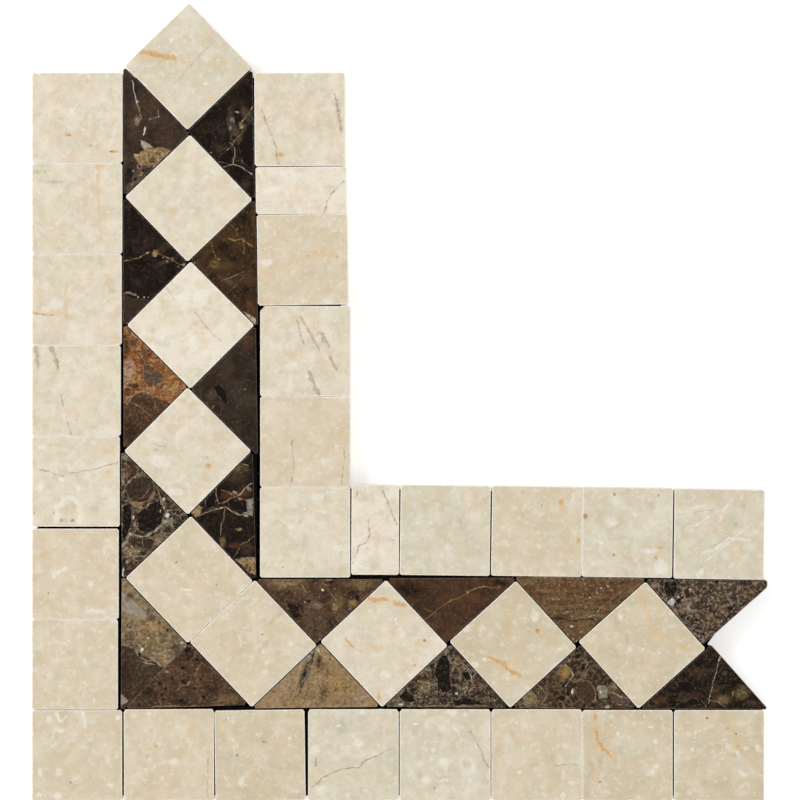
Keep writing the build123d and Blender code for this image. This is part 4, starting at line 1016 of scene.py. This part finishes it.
brownPaints = {
    "gold": ("#8a6c3c", "#a8884f", 0.85, 0.3, (0.75, 1.15)),
    "olive": ("#66542f", "#84704a", 0.85, 0.5, (0.75, 1.15)),
    "chestnut": ("#4e301f", "#5f3e28", 0.85, 0.4, (0.75, 1.15)),
    "walnut": ("#3d2b20", "#4b3729", 0.90, 0.3, (0.75, 1.15)),
    "cocoa": ("#32251c", "#3f2f23", 0.90, 0.3, (0.80, 1.12)),
    "taupe": ("#4b3d31", "#5b4c3e", 0.85, 0.4, (0.75, 1.15)),
    "rust": ("#8d4c22", "#b0703a", 0.90, 0.5, (0.75, 1.15)),
    "tan": ("#836846", "#ab8f68", 0.90, 0.65, (0.75, 1.15)),
    "rose": ("#8f6f5d", "#b29581", 0.85, 0.65, (0.75, 1.15)),
    "slate": ("#453f35", "#6a6353", 0.90, 0.3, (0.75, 1.15)),
    "ash": ("#8d8475", "#a79d8c", 0.88, 0.4, (0.75, 1.15)),
    "shade": ("#221811", "#2c2018", 0.75, 0.3, (0.2, 1.3)),
    "smoke": ("#7a7468", "#9c9586", 0.80, 0.5, (0.75, 1.15)),
    "ebony": ("#110c09", "#1a130e", 0.95, 0.1, (0.85, 1.10)),
    "bone": ("#a39276", "#c8bba1", 0.80, 0.6, (0.75, 1.15)),
    "white": ("#c9c5bb", "#eceae4", 0.85, 0.35, (0.75, 1.15)),
}
creamTones = {  # low, middle and high colour of the clouds
    "bright": ("#e8dec8", "#f0e6d3", "#f5eee0"),
    "light": ("#ddd2b9", "#e7dcc6", "#efe7d6"),
    "warm": ("#d4c7a8", "#dfd2b8", "#e8dec9"),
    "rosy": ("#d7c8ac", "#e1d2b8", "#e9ddc8"),
    "pale": ("#d5ccb3", "#e0d7c0", "#eae3d2"),
    "dull": ("#cdbfa0", "#d9ccb0", "#e3d9c3"),
}
brownTones = {
    # low, middle and high colour, vein colour, fleck colour, mm of clouds and of clasts,
    # amounts of veins, grains and specks
    "black": ("#100b08", "#1b130e", "#2d2017", "#8a7556", "#4b3725", 6.0, 5.0, 0.18, 0.20, 0.10),
    "ebony": ("#110b08", "#1a110c", "#281b13", "#8d7b64", "#3d2b1f", 7.0, 5.5, 0.08, 0.07, 0.06),
    "taupe": ("#281d16", "#382b22", "#483a2e", "#9a8768", "#5b4736", 7.0, 6.0, 0.05, 0.10, 0.08),
    "grey": ("#241b14", "#32271e", "#44372b", "#7d6c59", "#4f4033", 8.0, 7.0, 0.05, 0.10, 0.08),
    "veined": ("#1f150f", "#32251a", "#4b3728", "#b5a488", "#5d4630", 5.0, 3.4, 0.75, 0.45, 0.40),
    "umber": ("#2e2018", "#493627", "#614734", "#94755a", "#7a4f34", 4.5, 4.5, 0.20, 0.38, 0.25),
    "loam": ("#24190f", "#372617", "#4c3520", "#83673f", "#5e4427", 5.0, 4.2, 0.20, 0.18, 0.10),
    "earth": ("#33231a", "#472f20", "#573d28", "#8a6c44", "#5e4427", 6.0, 5.0, 0.10, 0.22, 0.10),
    "sand": ("#584530", "#7b664a", "#968261", "#c2b190", "#8f6a3f", 3.6, 3.4, 0.40, 0.65, 0.35),
    "tan": ("#7d6543", "#987d5a", "#ac926c", "#c9b18c", "#8f6a48", 4.5, 3.6, 0.15, 0.50, 0.25),
    "rust": ("#553519", "#7d502a", "#9e6d3b", "#d6ab7c", "#a44f28", 3.2, 3.0, 0.45, 0.75, 0.30),
    "streaked": ("#493320", "#624930", "#7c5f3f", "#a3845f", "#7d5a3a", 4.0, 5.0, 0.08, 0.50, 0.45),
    "pebbled": ("#19120d", "#2c2118", "#483524", "#b09c78", "#6a5132", 4.0, 3.4, 0.50, 0.38, 0.25),
    "speckled": ("#241a14", "#3b2f26", "#574a3d", "#a8977f", "#6f5444", 2.6, 2.6, 0.10, 1.00, 0.60),
}
marking = {
    "veinSoft": 1.4,  # a vein's faded edge reaches this far past its half width
    "veinCore": 0.3,  # share of that reach at which it starts to fade
    "clastSoft": 0.14,  # mm over which a clast's edge fades
    "clastLine": 0.24,  # mm, half width of the healed line round a clast
    "clastStrength": 1.08,  # of what its paint has
    "clastWhole": 0.8,  # share by which a clast breaks up less than the other marks
    "washFade": (0.25, 1.35),  # share of a wash's radius where it starts to fade and ends
    "haloShare": 2.1,  # size of the stain round a rusty spot, by the spot's
    "haloWidth": 2.2,  # width of the stain along a rusty vein, by the vein's
}


def markGroups():  # node groups that draw one stretch of vein, and one spot, round given points in mm
    vein = bpy.data.node_groups.new("stretch of vein", "ShaderNodeTree")
    spot = bpy.data.node_groups.new("spot", "ShaderNodeTree")
    for group, vectors, floats in ((vein, ("Point", "From", "To"), ("Half", "Swell")),
                                   (spot, ("Point", "Middle", "Radii"), ("Turn", "Core", "Rim"))):
        for name in vectors + floats:
            kind = "NodeSocketVector" if name in vectors else "NodeSocketFloat"
            group.interface.new_socket(name, in_out="INPUT", socket_type=kind)
        group.interface.new_socket("Mask", in_out="OUTPUT", socket_type="NodeSocketFloat")
    given = addNode(vein, "NodeGroupInput").outputs
    along = addNode(vein, "VectorMath", {0: given["To"], 1: given["From"]},
                    operation="SUBTRACT").outputs[0]
    away = addNode(vein, "VectorMath", {0: given["Point"], 1: given["From"]},
                   operation="SUBTRACT").outputs[0]
    over = addNode(vein, "VectorMath", {0: away, 1: along}, operation="DOT_PRODUCT").outputs["Value"]
    whole = addNode(vein, "VectorMath", {0: along, 1: along}, operation="DOT_PRODUCT").outputs["Value"]
    share = addNode(vein, "Math", {0: over, 1: whole}, operation="DIVIDE", use_clamp=True).outputs[0]
    nearest = addNode(vein, "VectorMath", {0: along, 3: share}, operation="SCALE").outputs[0]
    gap = addNode(vein, "VectorMath", {0: away, 1: nearest}, operation="DISTANCE").outputs["Value"]
    edge = addNode(vein, "Math", {0: given["Half"], 1: given["Swell"]}, operation="MULTIPLY").outputs[0]
    core = addNode(vein, "Math", {0: edge, 1: marking["veinCore"]}, operation="MULTIPLY").outputs[0]
    mask = addNode(vein, "MapRange", {0: gap, 1: core, 2: edge, 3: 1.0, 4: 0.0},
                   interpolation_type="SMOOTHSTEP").outputs[0]
    addNode(vein, "NodeGroupOutput", {0: mask})
    given = addNode(spot, "NodeGroupInput").outputs
    away = addNode(spot, "VectorMath", {0: given["Point"], 1: given["Middle"]},
                   operation="SUBTRACT").outputs[0]
    turned = addNode(spot, "VectorRotate", {0: away, 3: given["Turn"]},
                     rotation_type="Z_AXIS").outputs[0]
    shared = addNode(spot, "VectorMath", {0: turned, 1: given["Radii"]}, operation="DIVIDE").outputs[0]
    gap = addNode(spot, "VectorMath", {0: shared}, operation="LENGTH").outputs["Value"]
    mask = addNode(spot, "MapRange", {0: gap, 1: given["Core"], 2: given["Rim"], 3: 1.0, 4: 0.0},
                   interpolation_type="SMOOTHSTEP").outputs[0]
    addNode(spot, "NodeGroupOutput", {0: mask})
    return vein, spot


veinMark, spotMark = markGroups()


def larger(tree, mask, other):  # the larger of two masks, where there are two
    if mask is None:
        return other
    return addNode(tree, "Math", {0: mask, 1: other}, operation="MAXIMUM").outputs[0]


def veinMask(tree, space, mark, _):  # a vein, stretch by stretch
    _, half, points = mark
    mask = None
    for a, b in zip(points, points[1:]):
        mask = larger(tree, mask, addNode(tree, "Group", {
            "Point": space["flat"], "From": (*a, 0), "To": (*b, 0), "Half": marking["veinSoft"] * half,
            "Swell": space["swell"]}, node_tree=veinMark).outputs[0])
    return mask


def spotMask(tree, space, mark, fade):  # a spot, which fades between two shares of its radius
    _, x, y, long, wide, turn = mark
    return addNode(tree, "Group", {
        "Point": space["flat"], "Middle": (x, y, 0), "Radii": (long, wide, 1.0), "Turn": -math.radians(turn),
        "Core": fade[0], "Rim": fade[1]}, node_tree=spotMark).outputs[0]


def insideClast(tree, space, corners):  # mm inside the nearest edge of a clast
    inside = None
    for a, b in zip(corners, corners[1:] + corners[:1]):
        along = (Vector(b) - Vector(a)).normalized()
        inward = Vector((-along.y, along.x, 0))
        reach = addNode(tree, "VectorMath", {0: space["flat"], 1: inward},
                        operation="DOT_PRODUCT").outputs["Value"]
        gap = addNode(tree, "Math", {0: reach, 1: inward.dot(Vector((*a, 0)))},
                      operation="SUBTRACT").outputs[0]
        inside = gap if inside is None else addNode(
            tree, "Math", {0: inside, 1: gap}, operation="MINIMUM").outputs[0]
    return inside


def clastMask(tree, space, mark, _):
    soft = marking["clastSoft"]
    return addNode(tree, "MapRange", {
        0: insideClast(tree, space, mark[1]), 1: -soft, 2: soft, 3: 0.0, 4: 1.0},
        interpolation_type="SMOOTHSTEP").outputs[0]


def clastLineMask(tree, space, mark, _):
    gap = addNode(tree, "Math", {0: insideClast(tree, space, mark[1])}, operation="ABSOLUTE").outputs[0]
    return addNode(tree, "MapRange", {0: gap, 1: 0.0, 2: marking["clastLine"], 3: 1.0, 4: 0.0},
                   interpolation_type="SMOOTHSTEP").outputs[0]


def laidOver(tree, amount, under, over):  # one colour over another by an amount
    over = over if isinstance(over, bpy.types.NodeSocket) else linear(over)
    return addNode(tree, "Mix", {0: amount, 6: under, 7: over}, data_type="RGBA").outputs[2]


def layMarks(tree, colour, space, marks, maskOf, paints, share=1.0, fade=None, whole=0.0):
    # lays marks over a colour, one layer for each paint, each paint grained with its partner;
    # share is of the paints' strength, and whole is by how much the marks break up less
    shown = {}
    for paint, (hexColour, grainColour, strength, broken, spotFade) in paints.items():
        mask = None
        for mark in marks:
            if mark[0] == paint:
                mask = larger(tree, mask, maskOf(tree, space, mark, fade or spotFade))
        if mask is None:
            continue
        parts = addNode(tree, "MapRange", {
            0: space["broken"], 3: 1 - broken * (1 - whole), 4: 1.0}).outputs[0]
        mask = addNode(tree, "Math", {0: mask, 1: parts}, operation="MULTIPLY").outputs[0]
        amount = addNode(tree, "Math", {0: mask, 1: strength * share}, operation="MULTIPLY",
                         use_clamp=True).outputs[0]
        grained = addNode(tree, "Mix", {0: space["grain"], 6: linear(hexColour), 7: linear(grainColour)},
                          data_type="RGBA").outputs[2]
        colour = laidOver(tree, amount, colour, grained)
        shown[paint] = amount
    return colour, shown


def stoneSpace(tree, seed, broken):  # places in the stone in mm, straight and bent, and its marks' grain
    local = addNode(tree, "TexCoord").outputs["Object"]
    inMm = addNode(tree, "VectorMath", {0: local, 3: 1000.0}, operation="SCALE").outputs[0]
    draw = random.Random(seed * 31 + 5)
    shift = tuple(draw.uniform(-400, 400) for _ in range(3))
    block = addNode(tree, "VectorMath", {0: inMm, 1: shift}, operation="ADD").outputs[0]
    bend = None
    for size, reach in ((4.5, 1.4), (1.3, 0.7), (0.5, 0.22)):  # mm of the bends, mm that they reach
        field = addNode(tree, "TexNoise", {"Vector": block, "Scale": 1 / size, "Detail": 1.0}).outputs[1]
        centred = addNode(tree, "VectorMath", {0: field, 1: (0.5, 0.5, 0.5)},
                          operation="SUBTRACT").outputs[0]
        moved = addNode(tree, "VectorMath", {0: centred, 3: reach}, operation="SCALE").outputs[0]
        bend = moved if bend is None else addNode(tree, "VectorMath", {0: bend, 1: moved},
                                                  operation="ADD").outputs[0]
    bent = addNode(tree, "VectorMath", {0: inMm, 1: bend}, operation="ADD").outputs[0]
    flat = addNode(tree, "VectorMath", {0: bent, 1: (1, 1, 0)}, operation="MULTIPLY").outputs[0]
    bentBlock = addNode(tree, "VectorMath", {0: block, 1: bend}, operation="ADD").outputs[0]
    swellField = addNode(tree, "TexNoise", {"Vector": block, "Scale": 1 / 2.2, "Detail": 2.0}).outputs[0]
    swell = addNode(tree, "MapRange", {0: swellField, 1: 0.35, 2: 0.65, 3: 0.35, 4: 1.4}).outputs[0]
    field = addNode(tree, "TexNoise", {
        "Vector": bentBlock, "Scale": 1 / broken, "Detail": 5.0, "Roughness": 0.65}).outputs[0]
    breaking = addNode(tree, "MapRange", {0: field, 1: 0.4, 2: 0.58},
                       interpolation_type="SMOOTHSTEP").outputs[0]
    grainField = addNode(tree, "TexNoise", {
        "Vector": block, "Scale": 1 / 0.9, "Detail": 3.0, "Roughness": 0.6}).outputs[0]
    grain = addNode(tree, "MapRange", {0: grainField, 1: 0.45, 2: 0.55}).outputs[0]
    return {"inMm": inMm, "block": block, "bent": bentBlock, "flat": flat, "swell": swell,
            "broken": breaking, "grain": grain}


def noiseLayers(tree, colour, place, layers, shift, share=None):  # lays noise over a colour, layer by layer
    for number, (size, detail, start, full, hexColour, strength) in enumerate(layers, 1):
        moved = addNode(tree, "VectorMath", {0: place, 1: tuple(number * s for s in shift)},
                        operation="ADD").outputs[0]
        field = addNode(tree, "TexNoise", {
            "Vector": moved, "Scale": 1 / size, "Detail": detail, "Roughness": 0.6}).outputs[0]
        amount = addNode(tree, "MapRange", {0: field, 1: start, 2: full, 3: 0.0, 4: strength},
                         interpolation_type="SMOOTHSTEP").outputs[0]
        if share is not None:
            amount = addNode(tree, "Math", {0: amount, 1: share}, operation="MULTIPLY").outputs[0]
        colour = laidOver(tree, amount, colour, hexColour)
    return colour


def clouds(tree, place, size, detail, start, full, colours):  # three colours by a cloudy noise
    field = addNode(tree, "TexNoise", {
        "Vector": place, "Scale": 1 / size, "Detail": detail, "Roughness": 0.6,
        "Distortion": 0.4}).outputs[0]
    ramp = addNode(tree, "ValToRGB", {0: field})
    low, high = ramp.color_ramp.elements
    low.position, low.color = start, linear(colours[0])
    high.position, high.color = full, linear(colours[2])
    ramp.color_ramp.elements.new((start + full) / 2).color = linear(colours[1])
    return ramp.outputs[0]


finish = {
    "cream": {
        "bruiseAndHighlight": "#f9f5ec",  # bruised stone of the arris, paler also as a painted highlight where light catches the edge
        "sawn": "#d9ceb6",  # saw dust on the sides
        "wearAndHighlight": 0.85,  # how much of the arris is paled: real bruising and painted highlight
        "patches": (0.3, 0.62, 0.4),  # noise where the bruises start and are full, and their least amount
        "rough": 0.2,  # roughness of the polished face
    },
    # brown: a paler arris too, bruised stone and a painted highlight
    "brown": {"bruiseAndHighlight": "#8f7c66", "sawn": "#5b4a3c", "wearAndHighlight": 0.35, "patches": (0.52, 0.66, 0.1),
              "rough": 0.16},
    "dust": 0.55,  # amount of saw dust
    "sawnRough": 0.78,
    "bump": 0.06,  # mm of the saw's ridges
}


def finishStone(tree, output, colour, crack, space, look):
    # the polished face, the arris paled by bruising and by a painted highlight, and the sides and back as
    # the saw left them
    polish = addNode(tree, "Attribute", attribute_name="polish").outputs["Fac"]
    wearAndHighlight = addNode(tree, "Attribute", attribute_name="wearAndHighlight").outputs["Fac"]
    grit = addNode(tree, "TexNoise", {
        "Vector": space["block"], "Scale": 1 / 0.8, "Detail": 3.0}).outputs[0]
    patchy = addNode(tree, "MapRange", {
        0: grit, 1: look["patches"][0], 2: look["patches"][1], 3: look["patches"][2], 4: 1.0}).outputs[0]
    edge = addNode(tree, "Math", {0: wearAndHighlight, 1: patchy}, operation="MULTIPLY").outputs[0]
    edge = addNode(tree, "Math", {0: edge, 1: look["wearAndHighlight"]}, operation="MULTIPLY").outputs[0]
    # the arris painted paler: bruised stone and a painted highlight where light catches the edge
    colour = laidOver(tree, edge, colour, look["bruiseAndHighlight"])
    rough = addNode(tree, "Math", {0: 1.0, 1: polish}, operation="SUBTRACT").outputs[0]
    dusty = addNode(tree, "Math", {0: rough, 1: finish["dust"]}, operation="MULTIPLY").outputs[0]
    colour = laidOver(tree, dusty, colour, look["sawn"])
    kerf = addNode(tree, "VectorMath", {0: space["inMm"], 1: (0.15, 0.15, 2.2)},
                   operation="MULTIPLY").outputs[0]
    saw = addNode(tree, "TexNoise", {"Vector": kerf, "Scale": 1.0, "Detail": 3.0}).outputs[0]
    both = addNode(tree, "Math", {0: saw, 1: grit}, operation="ADD").outputs[0]
    height = addNode(tree, "Math", {0: both, 1: rough}, operation="MULTIPLY").outputs[0]
    polished = addNode(tree, "MapRange", {
        0: grit, 3: look["rough"] - 0.04, 4: look["rough"] + 0.05}).outputs[0]
    faceRough = addNode(tree, "Math", {0: wearAndHighlight, 1: 0.3, 2: polished}, operation="MULTIPLY_ADD").outputs[0]
    if crack is not None:  # a healed crack is a little dull and sunk
        faceRough = addNode(tree, "Math", {0: crack, 1: 0.3, 2: faceRough},
                            operation="MULTIPLY_ADD").outputs[0]
        height = addNode(tree, "Math", {0: crack, 1: -0.5, 2: height},
                         operation="MULTIPLY_ADD").outputs[0]
    roughness = addNode(tree, "Mix", {
        0: rough, 2: faceRough, 3: finish["sawnRough"]}, data_type="FLOAT").outputs[0]
    bump = addNode(tree, "Bump", {
        "Height": height, "Strength": 0.6, "Distance": finish["bump"] * mm}).outputs[0]
    shader = addNode(tree, "BsdfPrincipled", {
        "Base Color": colour, "Roughness": roughness, "Normal": bump, "IOR": 1.5})
    tree.links.new(shader.outputs[0], output.inputs["Surface"])


def creamMarble(name, seed):
    # cream marble, honed and polished: warm ivory clouds, chalky fossils, hairlines, a soft gloss
    material, tree, output = newMaterial("polished cream marble " + name)
    space, marks = stoneSpace(tree, seed, 1.8), marksOf(name)
    colour = clouds(tree, space["bent"], 9.0, 4.0, 0.3, 0.72, creamTones[chipLooks[name]["tone"]])
    colour = noiseLayers(tree, colour, space["bent"], (
        # mm of the pattern, detail, where it starts and is full, colour, strength
        (4.4, 4.0, 0.47, 0.68, "#d3c09b", 0.42),  # tan mottles
        (5.0, 4.0, 0.48, 0.70, "#e6c9aa", 0.42),  # rosy mottles
        (4.6, 4.0, 0.48, 0.70, "#c9c5b0", 0.42),  # grey mottles
        (2.4, 4.0, 0.52, 0.70, "#f2ecdf", 0.50),  # chalky mottles
        (6.5, 3.0, 0.60, 0.78, "#e0bd90", 0.24),  # amber clouds
        (3.0, 3.0, 0.66, 0.74, "#f7f2e8", 0.50),  # chalky fossils
        (1.3, 2.0, 0.68, 0.78, "#f7f2e8", 0.34),  # chalky flecks
        (0.9, 2.0, 0.66, 0.76, "#b09a75", 0.28),  # fine grains
    ), (17.0, 41.0, 9.0))
    halos = [("halo", x, y, marking["haloShare"] * long, marking["haloShare"] * wide, turn)
             for paint, x, y, long, wide, turn in marks["spots"] if paint in ("ochre", "rust")]
    colour, _ = layMarks(tree, colour, space, halos + marks["spots"], spotMask, creamPaints)
    stains = [("halo", marking["haloWidth"] * half, points)
              for paint, half, points in marks["veins"] if paint == "ochre"]
    colour, lines = layMarks(tree, colour, space, stains + marks["veins"], veinMask, creamPaints)
    finishStone(tree, output, colour, lines.get("crack"), space, finish["cream"])
    return material


def brownMarble(name, seed):
    # brown marble, polished: near black to rust clasts, healed pale veins between them, a deep gloss
    material, tree, output = newMaterial("polished brown marble " + name)
    tone = chipLooks[name]["tone"]
    low, middle, high, veinColour, fleck, cloudSize, cellSize, veins, grain, specks = brownTones[tone]
    space, marks = stoneSpace(tree, seed, 1.5), marksOf(name)
    place = space["bent"]
    if tone == "streaked":
        place = addNode(tree, "VectorMath", {0: place, 1: (0.22, 1.6, 1.0)},
                        operation="MULTIPLY").outputs[0]
    colour = clouds(tree, place, cloudSize, 5.0, 0.32, 0.70, (low, middle, high))
    colour, washed = layMarks(tree, colour, space, marks["washes"], spotMask, brownPaints,
                              fade=marking["washFade"])
    clast = addNode(tree, "TexVoronoi", {"Vector": space["bent"], "Scale": 1 / cellSize}).outputs["Color"]
    clastTone = addNode(tree, "SeparateColor", {0: clast}).outputs[0]
    darker = addNode(tree, "MapRange", {0: clastTone, 1: 0.6, 2: 1.0, 3: 0.0, 4: 0.6 * veins}).outputs[0]
    lighter = addNode(tree, "MapRange", {0: clastTone, 1: 0.3, 2: 0.0, 3: 0.0, 4: 0.5 * veins}).outputs[0]
    colour = laidOver(tree, darker, colour, low)
    colour = laidOver(tree, lighter, colour, high)
    colour, crisp = layMarks(tree, colour, space, marks["clasts"], clastMask, brownPaints,
                             marking["clastStrength"], whole=marking["clastWhole"])
    where = addNode(tree, "TexNoise", {  # zones of 7 mm with and without veins
        "Vector": space["block"], "Scale": 1 / 7.0, "Detail": 2.0}).outputs[0]
    for paint in ("tan", "olive", "gold", "rust"):  # the pale zones are full of fine veins
        for zones in (washed, crisp):
            if paint in zones:
                where = addNode(tree, "Math", {0: zones[paint], 1: 0.2, 2: where},
                                operation="MULTIPLY_ADD").outputs[0]
    rough = None
    for paint in ("ebony", "cocoa", "walnut", "taupe", "ash"):  # and the dark clasts are whole and smooth
        if paint in crisp:
            rough = larger(tree, rough, crisp[paint])
    if rough is not None:
        where = addNode(tree, "Math", {0: rough, 1: -0.4, 2: where}, operation="MULTIPLY_ADD").outputs[0]
        rough = addNode(tree, "Math", {0: rough, 1: -0.8, 2: 1.0}, operation="MULTIPLY_ADD").outputs[0]
    for size, wide, start, amount in (  # mm of the cells, share that is vein, where the veins start, amount
            (cellSize, 0.04, 0.48, veins),
            (cellSize / 2.3, 0.06, 0.55, veins * 0.9),
            (cellSize / 5.0, 0.10, 0.62, veins * 0.8)):
        cells = addNode(tree, "TexVoronoi", {"Vector": space["bent"], "Scale": 1 / size},
                        feature="DISTANCE_TO_EDGE").outputs["Distance"]
        reach = addNode(tree, "Math", {0: space["swell"], 1: wide}, operation="MULTIPLY").outputs[0]
        line = addNode(tree, "MapRange", {0: cells, 1: 0.0, 2: reach, 3: 1.0, 4: 0.0},
                       interpolation_type="SMOOTHSTEP").outputs[0]
        here = addNode(tree, "MapRange", {0: where, 1: start, 2: start + 0.1, 3: 0.0, 4: amount},
                       interpolation_type="SMOOTHSTEP").outputs[0]
        shown = addNode(tree, "Math", {0: line, 1: here}, operation="MULTIPLY").outputs[0]
        colour = laidOver(tree, shown, colour, veinColour)
    colour = noiseLayers(tree, colour, space["block"], (
        # mm of the pattern, detail, where it starts and is full, colour, strength
        (1.5, 4.0, 0.50, 0.60, veinColour, 0.55 * grain),  # grains
        (1.3, 4.0, 0.51, 0.60, fleck, 0.55 * grain),  # coloured grains among them
        (1.4, 4.0, 0.50, 0.60, "#150f0b", 0.55 * grain),  # dark grains between them
        (0.8, 1.0, 0.67, 0.72, "#cfc4ae", 0.9 * specks),  # crystal specks
    ), (23.0, 5.0, 31.0), rough)
    outlined = [("line", corners) for _, corners in marks["clasts"]]
    colour, _ = layMarks(tree, colour, space, outlined, clastLineMask,
                         {"line": (veinColour, middle, 0.7, 0.9, None)})
    colour, _ = layMarks(tree, colour, space, marks["spots"], spotMask, brownPaints)
    colour, _ = layMarks(tree, colour, space, marks["veins"], veinMask, brownPaints)
    finishStone(tree, output, colour, None, space, finish["brown"])
    return material


for seed, name in enumerate(stoneNodes, 1):
    piece = buildChip(name, seed)
    isCream = name.startswith("cream")
    make = creamMarble if isCream else brownMarble
    piece.data.materials.append(make(name, seed))
    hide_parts(name)
    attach(piece, "root")
print("chips done")


# The carrier: glass-fibre mesh, dark grey brown; its dark colour is partly painted shade, so that the
# threads read dark in the shaded joints

def fibreMaterial():  # glass-fibre rovings: a dull grey brown, kept dark partly as painted shade for the joints, with fine threads and a dull sheen
    material, tree, output = newMaterial("glass-fibre mesh, resin coated, dark as painted shade")
    local = addNode(tree, "TexCoord").outputs["Object"]
    fine = addNode(tree, "TexNoise", {"Vector": local, "Scale": 3500.0, "Detail": 2.0}).outputs[0]  # 0.3 mm
    colour = addNode(tree, "Mix", {0: fine, 6: linear("#2b2824"), 7: linear("#423e37")},
                     data_type="RGBA").outputs[2]
    bump = addNode(tree, "Bump", {"Height": fine, "Strength": 0.5, "Distance": 0.05 * mm}).outputs[0]
    shader = addNode(tree, "BsdfPrincipled", {
        "Base Color": colour, "Roughness": 0.5, "Normal": bump, "IOR": 1.5})
    tree.links.new(shader.outputs[0], output.inputs["Surface"])
    return material


fibre = fibreMaterial()
for name in meshNodes:
    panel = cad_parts[name]
    panel.data.materials.clear()
    panel.data.materials.append(fibre)
print("mesh done")
